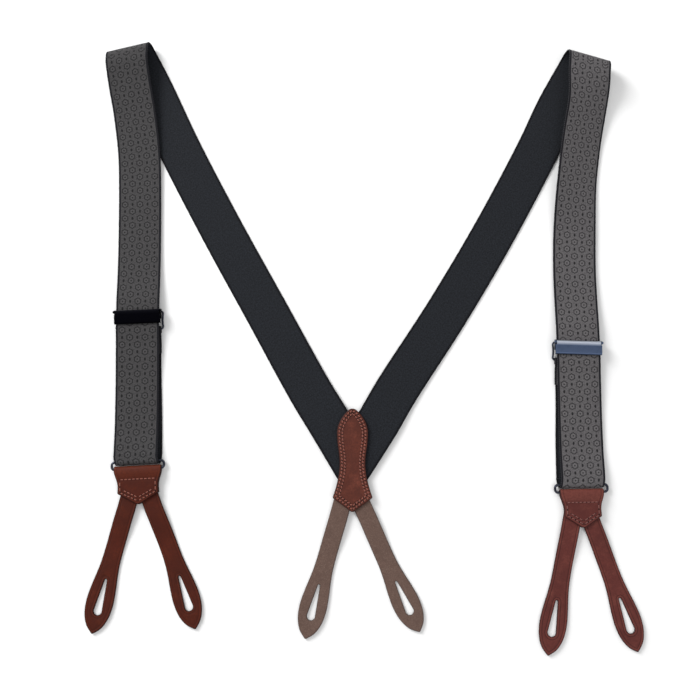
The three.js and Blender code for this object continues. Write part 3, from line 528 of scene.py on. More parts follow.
def webbing(name, centre, side, normal, s, top, bottom, phase=0.0):
    """A length of webbing. side is the half width as a vector at each place, s the distance along
    it, and phase where its pattern starts."""
    from_edge = HALF_WEB - np.abs(ACROSS)
    half = np.where(from_edge < EDGE_ROUND,
                    np.sqrt(np.maximum(1 - (1 - from_edge / EDGE_ROUND) ** 2, 0)), 1.0)
    furrow = FURROW_DEPTH * np.exp(-(((from_edge - FURROW_AT) / FURROW_WIDTH) ** 2))
    half = half * WEB_THICK / 2 - furrow
    half[0] = half[-1] = 0
    n, rows = len(ACROSS), len(s)
    share = ACROSS / HALF_WEB
    fray = 0.03 * np.sin(s * 0.83 + phase) + 0.02 * np.sin(s * 2.31 + 1.7 * phase)
    fade = ramp(s, 0, FRAY_FADE) * (1 - ramp(s, s[-1] - FRAY_FADE, s[-1]))
    grow = 1 + (fray * fade)[:, None] / HALF_WEB * (np.abs(share)[None] > FRAY_FROM)
    middle = centre[:, None] + side[:, None] * (share[None] * grow)[..., None]
    lift = normal[:, None] * half[None, :, None]
    upper, lower = middle + lift, (middle - lift)[:, 1:-1]
    points = np.concatenate([upper, lower], 1).reshape(-1, 3)
    ring = n + n - 2
    u = np.concatenate([ACROSS, ACROSS[1:-1]])
    uv = np.stack([np.tile(u, rows), np.repeat(s + phase, ring)], 1)
    faces, index = [], []

    def low(i):
        """The lower face's point under the upper face's; the two edges are shared."""
        return i if i in (0, n - 1) else n + i - 1

    for j in range(rows - 1):
        a, b = j * ring, (j + 1) * ring
        for i in range(n - 1):
            faces.append((a + i, a + i + 1, b + i + 1, b + i))
            faces.append((a + low(i), b + low(i), b + low(i + 1), a + low(i + 1)))
            index += [0, 1]
    end = [*range(n), *range(ring - 1, n - 1, -1)]
    faces += [end[::-1], [(rows - 1) * ring + i for i in end]]
    index += [1, 1]
    obj = mesh_object(name, points, faces, [top, bottom], index, uv)
    # The cut ends are sharp, so that one length runs into the next with no shade between them.
    data = obj.data
    keys = {k for polygon in list(data.polygons)[-2:] for k in polygon.edge_keys}
    sharp = data.attributes.new("sharp_edge", "BOOLEAN", "EDGE")
    sharp.data.foreach_set("value", [e.key in keys for e in data.edges])
    return obj


def along_table(points, step, start_edge=None, end_edge=None, bank=None):
    """Webbing laid through middle points. An edge is the direction of its slanted end, and bank
    gives its sideways tilt in degrees by the share of its length."""
    centre, along, s = spline(points, step)
    v = s / s[-1]
    across = unit(np.cross([0, 0, 1.0], along))
    level = np.cross(along, across)
    angle = np.radians(bank(v)) if bank else np.zeros(len(v))
    side = across.copy()
    for edge, weight in ((start_edge, 1 - ramp(v, 0, 0.25)), (end_edge, ramp(v, 0.75, 1))):
        if edge is not None:
            slanted = edge / (across @ edge)[:, None]
            side = side * (1 - weight[:, None]) + slanted * weight[:, None]
    side = side * np.cos(angle)[:, None] + level * np.sin(angle)[:, None]
    centre[:, 2] = np.maximum(centre[:, 2], Z_TABLE + np.abs(np.sin(angle)) * WEB_WIDTH / 2)
    return centre, side * WEB_WIDTH / 2, unit(np.cross(along, side)), s


def fold_frame(c):
    """The half roll at the shoulder: where it starts and ends, its axis and its slant."""
    start = np.array([*c["fold"], Z_TABLE])
    a = math.radians(c["angle"])
    axis, away = np.array([math.cos(a), math.sin(a), 0]), np.array([-math.sin(a), math.cos(a), 0])
    arriving = unit(start - np.array([*c["back"][-1], Z_TABLE]))
    slant = (arriving @ axis) / (arriving @ away)
    length = math.pi * c["radius"]
    end = start + axis * slant * length + np.array([0, 0, 2 * c["radius"]])
    return dict(start=start, end=end, axis=axis, away=away, slant=slant, length=length,
                leaving=unit(axis * slant - away))


def leg_frame(c):
    """The straight lower part of a strap. on gives a place above the adjuster's pin."""
    bar, top = np.array([*c["bar"], 0.0]), np.array([*c["top"], 0.0])
    up = unit(top - bar)
    lean = math.atan2(-up[0], up[1])
    pin = bar + up * c["ring_y"]

    def on(above, z, inward=0.0):
        return pin + up * above + np.array([c["inboard"] * inward, 0, z])

    leg = dict(bar=bar, top=top, up=up, pin=pin, on=on)
    for piece in ("ring", "adjuster"):
        a = lean + math.radians(c[f"{piece}_tilt"])
        leg[f"{piece}_angle"] = a
        leg[f"{piece}_edge"] = np.array([math.cos(a), math.sin(a), 0])
    return leg


def round_bar(line, shift, origin, angle):
    """Webbing bent round a bar, from its (y, z) line. shift gives x by the share of its length."""
    at, along, s = even(np.asarray(line, float), 0.5)
    x = shift(s / s[-1])
    centre = placed(np.stack([x, at[:, 0], at[:, 1]], 1), origin, angle)
    side = np.tile(np.array([[WEB_WIDTH / 2, 0, 0]]) @ turn(angle), (len(s), 1))
    normal = np.stack([0 * x, -along[:, 1], along[:, 0]], 1) @ turn(angle)
    return centre, side, normal, s


def arc(cy, cz, r, a0, a1, n=24):
    t = np.radians(np.linspace(a0, a1, n))
    return [(cy + r * math.cos(k), cz + r * math.sin(k)) for k in t]


def stands_for(node):
    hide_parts(node)


def build_back(name, c, fold):
    """From the patch to the fold, inner side up."""
    heights = [Z_IN_PATCH, Z_IN_PATCH, (Z_IN_PATCH + Z_TABLE) / 2]
    heights += [Z_TABLE] * (len(c["back"]) - len(heights))
    points = [(x, y, z) for (x, y), z in zip(c["back"], heights)]
    lay = along_table([*points, fold["start"]], 2.0, end_edge=fold["axis"])
    # Its lower end is cut off square inside the patch.
    keep = lay[0][:, 1] > PATCH_BOTTOM + EAR_ROOT + BACK_INTO_PATCH
    centre, side, normal, s = (a[keep] for a in lay)
    back = webbing(f"{name}_back_strap", centre, side, normal, s - s[0], M["inner"],
                   M[f"{name}_outer"], 0.7 * c["phase"])
    # The two straps meet at the middle line, 0.2 mm apart.
    co = np.array([v.co for v in back.data.vertices])
    middle = metres([[0, 0, 0]])[0, 0]
    stop = np.minimum if c["inboard"] > 0 else np.maximum
    co[:, 0] = stop(co[:, 0], middle - c["inboard"] * 0.0001)
    back.data.vertices.foreach_set("co", co.ravel())
    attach(back, "back")
    stands_for(f"{name}_back_webbing")


def build_fold(name, c, fold):
    """The shoulder fold, a half roll."""
    angle = np.linspace(0, math.pi, 30)
    centre = (fold["start"]
              + np.outer(angle / math.pi * fold["length"] * fold["slant"], fold["axis"])
              + np.outer(c["radius"] * np.sin(angle), fold["away"])
              + np.outer(c["radius"] * (1 - np.cos(angle)), [0, 0, 1]))
    half = WEB_WIDTH / 2 * math.hypot(1, fold["slant"])
    side = np.tile(-fold["axis"] * half, (len(angle), 1))
    normal = -np.outer(np.sin(angle), fold["away"]) + np.outer(np.cos(angle), [0, 0, 1])
    roll = webbing(f"{name}_fold", centre, side, normal, angle * c["radius"], M["inner"],
                   M[f"{name}_outer"], 1.3 * c["phase"])
    stands_for(f"{name}_shoulder_fold")
    middle = (fold["start"] + fold["end"]) / 2
    metres([*middle[:2], fold["start"][2]])
    metres([*middle[:2], fold["end"][2]])
    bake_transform(roll)


def build_front(name, c, fold, leg):
    """Down to just above the adjuster, patterned side up. All of it lies higher than the back
    strap, so that it can gather over it when the adjuster slides up."""
    on, end = leg["on"], fold["end"]
    drop = end[2] - Z_SECOND
    banked = Z_SECOND + c["bank"] * BANK_LIFT
    heights = [Z_SECOND + drop * 0.66, max(Z_SECOND + drop * 0.3, banked),
               max(Z_SECOND + drop * 0.08, banked), Z_SECOND]
    straight = (leg["top"] - leg["pin"]) @ leg["up"]
    near = end + fold["leaving"] * c["radius"]
    near[2] = end[2] - GAP
    points = [end, near, *[(x, y, z) for (x, y), z in zip(c["front"], heights)],
              on(straight, Z_SECOND), on(straight * 0.55, (Z_SECOND + Z_AT_ADJUSTER) * 0.45),
              on(straight * 0.25, Z_AT_ADJUSTER - GAP), on(CUT_ABOVE_PIN, Z_AT_ADJUSTER)]

    def bank(share):
        return c["inboard"] * c["bank"] * ramp(share, 0, 0.18) * (1 - ramp(share, 0.4, 0.68))

    lay = along_table(points, 1.8, start_edge=fold["axis"], bank=bank)
    length = lay[3][-1]
    front = webbing(f"{name}_front_strap", *lay, M[f"{name}_outer"], M["inner"])
    stands_for(f"{name}_front_webbing")
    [metres(on(above, 0)) for above in FRONT_GATHERS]
    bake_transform(front)
    return length


def build_lower_front(name, c, leg, gone):
    """From the adjuster to the ring. gone is the length of the strap above, for the pattern."""
    on, down, hem_end = leg["on"], -c["ring_y"], LOOP_BOTTOM - HEM_LENGTH
    points = [on(CUT_ABOVE_PIN, Z_AT_ADJUSTER), on(-4, Z_AT_ADJUSTER),
              on(LOOP_BOTTOM - 1, Z_AT_ADJUSTER),
              on(LOOP_BOTTOM - HEM_LENGTH / 2, Z_SECOND + RISE + 0.7),
              on(hem_end - 2, Z_SECOND + RISE), on(hem_end - 20, Z_SECOND + GAP),
              on(down + 26, Z_SECOND + GAP), on(down + 13, (Z_SECOND + Z_AT_RING) / 2 + 0.5),
              on(down + RING_STRAIGHT, Z_AT_RING)]
    lay = along_table(points, 1.8, end_edge=leg["ring_edge"])
    lower = webbing(f"{name}_lower_front_strap", *lay, M[f"{name}_outer"], M["inner"], gone)
    stands_for(f"{name}_lower_front_webbing")
    metres(on(BELOW_PIN, 0))
    metres(on(down + ABOVE_BAR, 0))
    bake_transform(lower)
    return gone + lay[3][-1]


def build_ring_turn(name, c, leg, gone):
    """Round the ring's upper bar, from the front to the return."""
    line = [(RING_STRAIGHT, RING_TURN), *arc(0, 0, RING_TURN, 90, 270),
            (RING_STRAIGHT, -RING_TURN)]
    centre, side, normal, s = round_bar(
        line, lambda share: c["inboard"] * RETURN_SHIFT * ramp(share, 0, 1),
        [*leg["bar"][:2], Z_BAR], leg["ring_angle"])
    # Its rounded side is the patterned one, so the strap's normal is turned inwards here.
    ring_web = webbing(f"{name}_ring_turn", centre, -side, -normal, s, M[f"{name}_outer"],
                       M["inner"], gone)
    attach(ring_web, f"{name}_strap_end")
    stands_for(f"{name}_ring_webbing")


def build_return(name, c, leg, hem_start):
    """Behind, from the ring back up to the hem."""
    on, down = leg["on"], -c["ring_y"]
    points = [on(down + RING_STRAIGHT, Z_TABLE, RETURN_SHIFT),
              on(down + 35, Z_TABLE, RETURN_SHIFT * 0.85),
              on(hem_start - 35, Z_TABLE, (RETURN_SHIFT + LOOP_SHIFT) * 0.4),
              on(hem_start, Z_TABLE, LOOP_SHIFT)]
    lay = along_table(points, 2.2, start_edge=leg["ring_edge"],
                      end_edge=leg["adjuster_edge"])
    back_leg = webbing(f"{name}_return_strap", *lay, M["inner"], M[f"{name}_outer"],
                       2.2 * c["phase"])
    stands_for(f"{name}_return_webbing")
    metres(on(hem_start, 0))
    metres(on(down + ABOVE_BAR, 0))
    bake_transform(back_leg)


def build_hem(name, c, leg, hem_start):
    """Round the adjuster's wire loop and down on to the return, where two rows sew it."""
    angle = leg["adjuster_angle"]
    flat_top = LOOP_BOTTOM - HEM_LENGTH * 0.5
    middle = (LOOP_BOTTOM + flat_top) / 2
    slope = bezier((LOOP_BOTTOM, Z_HEM_TOP), (middle, Z_HEM_TOP), (middle, Z_SECOND),
                   (flat_top, Z_SECOND), np.linspace(0, 1, 16)[1:])
    line = [(hem_start, Z_TABLE), *arc(LOOP_BOTTOM, Z_LOOP, HEM_TURN, -90, 90), *slope,
            (LOOP_BOTTOM - HEM_LENGTH, Z_SECOND)]
    shift = c["inboard"] * LOOP_SHIFT
    lay = round_bar(line, lambda share: 0 * share + shift, [*leg["pin"][:2], 0], angle)
    hem = webbing(f"{name}_hem", *lay, M["inner"], M[f"{name}_outer"], 3.1 * c["phase"])
    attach(hem, f"{name}_adjuster")
    stands_for(f"{name}_webbing_hem")
    rows = []
    for below in HEM_ROWS:
        path = [(x + shift, LOOP_BOTTOM - below, Z_SECOND + 0.58)
                for x in (-HEM_ROW_HALF, HEM_ROW_HALF)]
        rows += stitch_row(np.array(path), *STITCHES["hem"])
    sew(f"{name}_hem_sewing", rows, M["thread_dark"], f"{name}_adjuster", leg["pin"], angle)


def build_strap(name, c):
    fold, leg = fold_frame(c), leg_frame(c)
    build_back(name, c, fold)
    build_fold(name, c, fold)
    length = build_front(name, c, fold, leg)
    length = build_lower_front(name, c, leg, length)
    build_ring_turn(name, c, leg, length)
    hem_start = LOOP_BOTTOM - HEM_STRAIGHT
    build_return(name, c, leg, hem_start)
    build_hem(name, c, leg, hem_start)
    return leg


# ---- sewing
def stitch(a, b, radius, rise=0.35, sides=7, rings=9):
    """One stitch: a short thread that goes into the leather at both ends."""
    a, b = np.asarray(a, float), np.asarray(b, float)
    along = unit(b - a)
    across = unit(np.cross([0, 0, 1.0], along))
    t = np.linspace(0, 1, rings)
    swell = np.maximum(np.sin(math.pi * t), 0) ** 0.35
    centre = a + np.outer(t, b - a) + np.outer(radius * (swell * (1 + rise) - 1.0), [0, 0, 1])
    angle = np.linspace(0, 2 * math.pi, sides, endpoint=False)
    ring = np.outer(np.cos(angle), across) + np.outer(np.sin(angle), np.cross(along, across))
    thick = radius * (0.45 + 0.55 * swell)
    points = (centre[:, None] + ring[None] * thick[:, None, None]).reshape(-1, 3)
    faces = [*tube_faces(rings, sides), list(range(sides))[::-1],
             [(rings - 1) * sides + i for i in range(sides)]]
    length = np.linalg.norm(b - a)
    uv = np.stack([np.repeat(t * length, sides), np.tile(angle / (2 * math.pi), rings)], 1)
    return points, faces, uv


def painted_hole_shade(centre, radius):
    """A low dark dome of painted shade, where a thread goes into the leather."""
    a = np.linspace(0, 2 * math.pi, 8, endpoint=False)
    rim = np.stack([radius * np.cos(a), radius * np.sin(a), 0 * a], 1)
    points = np.vstack([rim, rim * [0.6, 0.6, 1] + [0, 0, 0.05], [[0, 0, 0.06]]]) + centre
    faces = tube_faces(2, 8) + [(8 + i, 8 + (i + 1) % 8, 16) for i in range(8)]
    return points, [*faces, list(range(8))[::-1]], np.zeros((len(points), 2))


def stitch_row(line, length, gap, radius, slant=0.0):
    """Stitches along a line, each with a dark dome of painted shade in the needle hole at its two
    ends.
    """
    at, _, s = even(np.asarray(line, float), 0.25)
    count = max(int(s[-1] // (length + gap)), 1)
    pitch = s[-1] / count
    out = []
    for i in range(count):
        s0, s1 = i * pitch + gap / 2, (i + 1) * pitch - gap / 2
        a, b = (np.array([np.interp(x, s, at[:, k]) for k in range(3)]) for x in (s0, s1))
        across = unit(np.cross([0, 0, 1.0], b - a))
        a, b = a - across * slant, b + across * slant
        holes = [painted_hole_shade(p - [0, 0, 0.01], radius * 1.4) for p in (a, b)]
        out.append((stitch(a, b, radius), holes))
    return out


def sew(name, rows, thread, body, origin=(0, 0, 0), angle=0.0):
    """Stitches as one piece, and the painted shade of their needle holes as another."""
    threads = [sewn for sewn, _ in rows]
    holes = [hole for _, pair in rows for hole in pair]
    for suffix, parts, material in (("", threads, thread), ("_painted_shade", holes, M["painted_hole_shade"])):
        pts, faces, uv = joined(parts)
        obj = mesh_object(name + suffix, placed(pts, origin, angle), faces, [material], uv=uv)
        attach(obj, body)


# ---- leather
def resample(loop, step):
    at, _, _ = even(np.vstack([loop, loop[:1]]), step)
    return at[:-1]


def bezier(p0, p1, p2, p3, shares=24):
    """Its points at the given shares, or that many even ones without the last."""
    t = np.linspace(0, 1, shares, endpoint=False) if np.isscalar(shares) else shares
    t = t[:, None]
    p0, p1, p2, p3 = map(np.asarray, (p0, p1, p2, p3))
    return (1 - t) ** 3 * p0 + 3 * t * (1 - t) ** 2 * p1 + 3 * t**2 * (1 - t) * p2 + t**3 * p3


def inward(loop):
    """The normals of a closed line, on its left."""
    tangent = unit(np.roll(loop, -1, 0) - np.roll(loop, 1, 0))
    return np.stack([-tangent[:, 1], tangent[:, 0]], 1)


def edge_distance(points, loops):
    """How far each point is from the nearest line, 2000 points at a time."""
    best = np.full(len(points), 1e9)
    for loop in loops:
        a, b = loop, np.roll(loop, -1, 0)
        d = b - a
        ll = np.maximum((d**2).sum(1), 1e-12)
        for i in range(0, len(points), 2000):
            q = points[i:i + 2000, None]
            t = np.clip(((q - a) * d).sum(2) / ll, 0, 1)
            away = np.linalg.norm(q - a - t[..., None] * d, axis=2).min(1)
            best[i:i + 2000] = np.minimum(best[i:i + 2000], away)
    return best


def within(points, loops):
    """Whether each point is inside an odd number of the loops."""
    inside = np.zeros(len(points), bool)
    for loop in loops:
        a, b = loop, np.roll(loop, -1, 0)
        for (x0, y0), (x1, y1) in zip(a, b):
            if y0 == y1:
                continue
            hit = (points[:, 1] > y0) != (points[:, 1] > y1)
            x = x0 + (points[:, 1] - y0) * (x1 - x0) / (y1 - y0)
            inside ^= hit & (points[:, 0] < x)
    return inside


INSETS = (0.1, 0.3, 0.6, 1.0, 1.5, 2.0, 2.35, 2.7, 3.3)
GRID = 1.5
CREASE_AT, CREASE_WIDTH = 2.35, 0.24


def leather(name, loops, thickness, place, material, extra=(), crease=0.0, crown=0.0, band=None):
    """A cut piece of leather with rounded edges. loops are its outline and holes, in plan, and
    place gives the middle places and normals of plan points. crease and crown are the depth of the
    line along the edge and the rise of the middle, extra the (points, depth, width) of more lines
    pressed into the upper face, and band marks where it wears."""
    loops = [np.asarray(l, float) for l in loops]
    points = [np.vstack(loops)]
    for d in INSETS:
        # Every point near the edge and the crease, every second one elsewhere.
        every = 1 if d < 1.2 or 1.9 < d < 2.8 else 2
        for loop in loops:
            for sign in (1, -1):
                moved = loop + sign * d * inward(loop)
                ok = within(moved, loops) & (np.abs(edge_distance(moved, loops) - d) < 0.03)
                points.append(moved[ok][::every])
    low, high = loops[0].min(0), loops[0].max(0)
    xs, ys = np.arange(low[0], high[0], GRID), np.arange(low[1], high[1], GRID * 0.866)
    grid = np.array([(x + (j % 2) * GRID / 2, y) for j, y in enumerate(ys) for x in xs])
    grid = grid[within(grid, loops)]
    points.append(grid[edge_distance(grid, loops) > INSETS[-1] + GRID * 0.45])
    flat = np.vstack(points)
    edges, start = [], 0
    for loop in loops:
        edges += [(start + i, start + (i + 1) % len(loop)) for i in range(len(loop))]
        start += len(loop)
    verts, _, faces, *_ = geometry.delaunay_2d_cdt([Vector(p) for p in flat], edges, [], 0, 1e-4)
    flat = np.array([tuple(v) for v in verts])
    tri = np.array([f for f in faces if len(f) == 3])
    tri = tri[within(flat[tri].mean(1), loops)]
    used = np.unique(tri)
    remap = np.full(len(flat), -1)
    remap[used] = np.arange(len(used))
    flat, tri = flat[used], remap[tri]
    away = edge_distance(flat, loops)
    away[away < 1e-3] = 0
    r = thickness * 0.42
    half = thickness / 2 * np.sqrt(np.maximum(1 - (1 - np.minimum(away, r) / r) ** 2, 0))
    half = np.where(away == 0, 0, np.maximum(half, 0.02))
    top = half + crown * ramp(away, 0.5, 6)
    top = top - crease * np.exp(-(((away - CREASE_AT) / CREASE_WIDTH) ** 2))
    for line, depth, width in extra:
        line, _, _ = even(np.asarray(line, float), 0.5)
        near = np.min([np.linalg.norm(flat - p, axis=1) for p in line], axis=0)
        top = top - depth * np.exp(-((near / width) ** 2)) * ramp(away, 0.2, 0.9)
    rim = away == 0
    middle, normal = place(flat)
    up = middle + normal * top[:, None]
    under = (middle - normal * half[:, None])[~rim]
    low_index = np.full(len(flat), -1)
    low_index[~rim] = len(flat) + np.arange((~rim).sum())
    low_index[rim] = np.nonzero(rim)[0]
    p = flat[tri]
    area = np.cross(p[:, 1] - p[:, 0], p[:, 2] - p[:, 0])
    tri[area < 0] = tri[area < 0][:, ::-1]
    faces = [*map(tuple, tri), *map(tuple, low_index[tri][:, ::-1])]
    uv = np.vstack([flat, flat[~rim]])
    marks = {"edge_mm": np.concatenate([away, away[~rim]])}
    if band:
        marks["band"] = band(uv)
    return mesh_object(name, np.vstack([up, under]), faces, [material], uv=uv, values=marks)


def ear_outline():
    """Half width against distance from the tip."""
    shares = [(1.2, -0.155), (0, 0), (1.2, 0.155), (5.8, 0.57), (13.5, 0.88), (24, 1),
              (36.8, 0.905), (44.7, 0.8), (54, 0.705)]
    pts = [(x, share * EAR_HALF) for x, share in shares]
    pts += [(x, EAR_STEM_HALF) for x in (64, 80, 100)]
    at, _, _ = spline(pts, 0.25)
    tip = int(np.argmin(np.hypot(at[:, 0], at[:, 1])))
    return at[tip:]


EAR_LINE = ear_outline()


def kept_half(loop, value):
    """The part of a closed line where value is above 0."""
    out = []
    for i in range(len(loop)):
        j = (i + 1) % len(loop)
        if value[i] > 0:
            out.append(loop[i])
        if (value[i] > 0) != (value[j] > 0):
            out.append(loop[i] + (loop[j] - loop[i]) * value[i] / (value[i] - value[j]))
    return np.array(out)


def build_ear(name, group, at, heading, bow, body, material, origin, angle):
    """A buttonhole ear. In plan, y is 0 at its root and its tip is at -length."""
    reach = REACH[group]
    length = EAR_ROOT + reach

    def centre_x(from_tip):
        share = np.maximum(length - from_tip - EAR_ROOT, 0) / reach
        return 4 * bow * share * (1 - share)

    right = EAR_LINE[EAR_LINE[:, 0] < length - 0.5]
    right = np.vstack([right, [[length, EAR_STEM_HALF]]])
    loop = np.vstack([right[::-1], right[1:] * [1, -1]])
    loop = np.stack([centre_x(loop[:, 0]) + loop[:, 1], loop[:, 0] - length], 1)
    head = math.radians(heading)
    # The two ears meet at the middle of the piece that holds them, GAP apart.
    side = np.sign(at[0])
    from_middle = side * ((loop + [0, EAR_ROOT]) @ turn(head)[:2, 0] + at[0]) - GAP / 2
    outline = resample(kept_half(loop, from_middle), 0.9)
    c0, c1 = SLOT_FROM_TIP + SLOT_END_R, SLOT_FROM_TIP + SLOT_LENGTH - SLOT_TOP_R
    a = np.radians(np.linspace(180, 360, 18))
    slot = [(c0 - SLOT_END_R * math.sin(t - math.pi), SLOT_END_R * math.cos(t)) for t in a]
    a = np.radians(np.linspace(0, 180, 8))
    slot += [(c1 + SLOT_TOP_R * math.sin(t), SLOT_TOP_R * math.cos(t)) for t in a]
    slot = np.array(slot)
    hole = resample(np.stack([centre_x(slot[:, 0]) + slot[:, 1], slot[:, 0] - length], 1), 0.7)
    z_root, z_rest = PLY + GAP + EAR / 2, EAR / 2

    def place(flat):
        """Down on to the table past the root, then curled up a little at the tip."""
        from_root = -flat[:, 1]
        z = z_root + (z_rest - z_root) * ramp(from_root, EAR_ROOT + 2, EAR_ROOT + 32)
        far = ramp(from_root, length - 60, length)
        z = z + 0.5 * far * (flat[:, 0] / 10) ** 2 + 0.35 * far * far
        local = np.stack([flat[:, 0], flat[:, 1] + EAR_ROOT, z], 1) @ turn(head)
        local = local + [at[0], at[1], 0]
        normal = np.tile([0.0, 0, 1.0], (len(flat), 1))
        return placed(local, origin, angle), normal

    obj = leather(name, [outline, hole], EAR, place, material,
                  crease=0.16 if group == "front" else 0.0, crown=0.06)
    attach(obj, body)
    return obj


def tab_outline(half, waist):
    """The right edge of a tab's front ply, from the bend to the point."""
    low = -TAB_LENGTH
    return np.vstack([bezier((half, 0), (half, -5), (waist, -8), (waist, -14), 16),
                      [(waist, -14), (waist + 0.3, 8.8 - TAB_LENGTH)],
                      bezier((3, 1.2 - TAB_LENGTH), (2, 0.4 - TAB_LENGTH), (1, low), (0, low), 6),
                      [(0, low)]])


def build_tab(name, c, leg):
    """One piece of leather folded round the ring's lower bar and sewn through the ears."""
    half = c["tab_width"] / 2
    waist = half - 2.9
    mid_r = Z_BAR - PLY / 2
    bend = math.pi * mid_r
    right = tab_outline(half, waist)
    # From the point of the front ply, up its side, round the bend and down to the other point.
    ring = np.vstack([right[::-1], np.stack([right[:, 0], bend - right[:, 1]], 1)])
    outline = resample(np.vstack([ring, ring[::-1] * [-1, 1]]), 0.9)
    ring_angle = leg["ring_angle"]
    centre = c["inboard"] * RETURN_SHIFT / 2
    origin = placed([[centre, -RING_SPACING, 0]], leg["bar"], ring_angle)[0]

    def place(flat):
        """s runs up the front ply to 0, round the bar to bend, and down the back ply. The front
        is puffed just below the bar and drawn in by the row of stitches."""
        x, s = flat[:, 0], flat[:, 1]
        t = np.clip(s / mid_r, 0, math.pi)
        y = np.where(s < 0, s, np.where(s > bend, bend - s, mid_r * np.sin(t)))
        z = np.where(s < 0, mid_r, np.where(s > bend, -mid_r, mid_r * np.cos(t)))
        ny, nz = np.sin(t), np.cos(t)
        puff = 0.38 * np.exp(-(((s + 3.0) / 2.6) ** 2)) * (s < bend / 2)
        dip = -0.14 * np.exp(-((s + TAB_ROW) ** 2)) * (1 - ramp(np.abs(x), half - 4, half - 2.4))
        local = np.stack([x, y + (puff + dip) * ny, z + (puff + dip) * nz + Z_BAR], 1)
        normal = np.stack([0 * x, ny, nz], 1)
        return placed(local, origin, ring_angle), normal @ turn(ring_angle)

    leatherwork = M[f"{name}_leather"]
    inner = waist - 2.0
    lines = [([(-inner, -TAB_ROW), (inner, -TAB_ROW)], 0.1, 0.5)]

    def band(flat):
        return ramp(flat[:, 1], -7.4, -6.4) * (1 - ramp(flat[:, 1], bend + 6.4, bend + 7.4))

    obj = leather(f"{name}_tab", [outline], PLY, place, leatherwork, extra=lines, crown=0.04,
                  band=band)
    body = f"{name}_tab"
    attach(obj, body)
    stands_for(f"{name}_tab_leather")

    z = 2 * Z_BAR + 0.03

    def row(points, height=z):
        return stitch_row(np.array([(x, y, height) for x, y in points]), *STITCHES["tab"])

    rows = row([(-inner, -TAB_ROW), (inner, -TAB_ROW)], z - 0.2)
    corner = 9.6 - TAB_LENGTH
    for s in (-1, 1):
        rows += row([(s * inner, -9.6), (s * inner, corner + 0.4)])
        rows += row([(s * inner, corner), (s * 0.6, 2.9 - TAB_LENGTH)])
        rows += row([(s * (inner - 2.6), corner + 1.6), (s * 0.6, 5.6 - TAB_LENGTH)])
    thread = M["thread_brown"] if name == "left" else M["thread_red"]
    sew(f"{name}_tab_sewing", rows, thread, body, origin, ring_angle)
    for which, (at, heading, bow) in EARS[name].items():
        ear = build_ear(f"{name}_ear_{which}_leather", "front", at, heading, bow, body,
                        leatherwork, origin, ring_angle)
        stands_for(f"{name}_ear_{which}")


def patch_outline():
    """The right edge of the cross patch, from its bottom point up to its top."""
    top = PATCH_LENGTH
    return np.vstack([
        bezier((0, 0), (0.9, 0), (1.7, 0.5), (2.4, 1.2), 6),
        [(2.4, 1.2)], bezier((15.8, 11), (12, 22), (10.2, 30), (10.2, 38)),
        bezier((10.2, 38), (10.2, 46), (12.4, 52), (12.4, 62)),
        bezier((12.4, 62), (12.4, 71), (6, 78), (3, top - 1), 20),
        bezier((3, top - 1), (2, top - 0.3), (1, top), (0, top), 6), [(0, top)]])


def build_patch():
    """Two plies sewn round their edge, with the ends of the straps and the back ears between."""
    right = patch_outline()
    loop = resample(np.vstack([right, (right * [-1, 1])[::-1][1:-1]]), 0.9)
    crown = 0.16
    for name, z, up in (("top", PLY + PLY_SPACE + PLY / 2, 1), ("under", PLY / 2, -1)):

        def place(flat, z=z, up=up):
            """The upper ply sinks a little at both ends, past what it covers."""
            x, y = flat.T
            sag = 0.25 * (ramp(y, 70, 82) + ramp(-y, -9, 0)) * (up > 0)
            return (np.stack([x, y + PATCH_BOTTOM, z - sag], 1),
                    np.tile([0.0, 0, float(up)], (len(flat), 1)))

        obj = leather(f"patch_{name}_leather", [loop], PLY, place, M["patch_leather"],
                      crown=crown if up > 0 else 0.0)
        if up < 0:
            for polygon in obj.data.polygons:
                polygon.flip()
        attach(obj, "back")
        stands_for(f"cross_patch_{name}")
    rows = []
    shape = resample(loop, 0.3)
    for inset in (2.0, 4.3):
        z = 2 * PLY + PLY_SPACE + crown * float(ramp(inset, 0.5, 6)) + 0.01
        moved = shape + inset * inward(shape)
        ok = within(moved, [shape]) & (np.abs(edge_distance(moved, [shape]) - inset) < 0.05)
        x, y = np.vstack([moved[ok], moved[ok][:1]]).T
        rows += stitch_row(np.stack([x, y + PATCH_BOTTOM, np.full(len(x), z)], 1),
                           *STITCHES["patch"])
    sew("patch_sewing", rows, M["thread_patch"], "back")
    for which, (at, heading, bow) in EARS["back"].items():
        ear = build_ear(f"back_ear_{which}_leather", "back", at, heading, bow, "back",
                        M["suede"], (0, PATCH_BOTTOM, 0), 0)
        stands_for(f"back_ear_{which}")


# ---- metal
def wire_ring(name, outline, radius, z, material, origin, angle, sides=18):
    """A closed wire through plan points."""
    p = np.array([(x, y, z) for x, y in outline], float)
    before, after = unit(p - np.roll(p, 1, 0)), unit(np.roll(p, -1, 0) - p)
    outward = np.cross(unit(before + after), [0, 0, 1.0])
    a = np.linspace(0, 2 * math.pi, sides, endpoint=False)
    ring = (p[:, None] + radius * (np.cos(a)[None, :, None] * outward[:, None]
                                   + np.sin(a)[None, :, None] * np.array([0, 0, 1.0])))
    return mesh_object(name, placed(ring.reshape(-1, 3), origin, angle),
                       tube_faces(len(p), sides, closed=True), [material])


def rounded_rectangle(x, y, w, h, r, waist=0.0):
    """A closed line round a middle point. waist is how far its two sides are drawn in."""
    out = []
    for sx, sy, start in ((1, 1, 0), (-1, 1, 90), (-1, -1, 180), (1, -1, 270)):
        out += arc(x + sx * (w / 2 - r), y + sy * (h / 2 - r), r, start, start + 90, 9)
        if waist and sx * sy < 0:
            out += [(x + sx * (w / 2 - waist * share), y + sy * h / 2 * k)
                    for k, share in ((0.4, 0.6), (0, 1), (-0.4, 0.6))]
    return resample(np.array(out), 0.6)


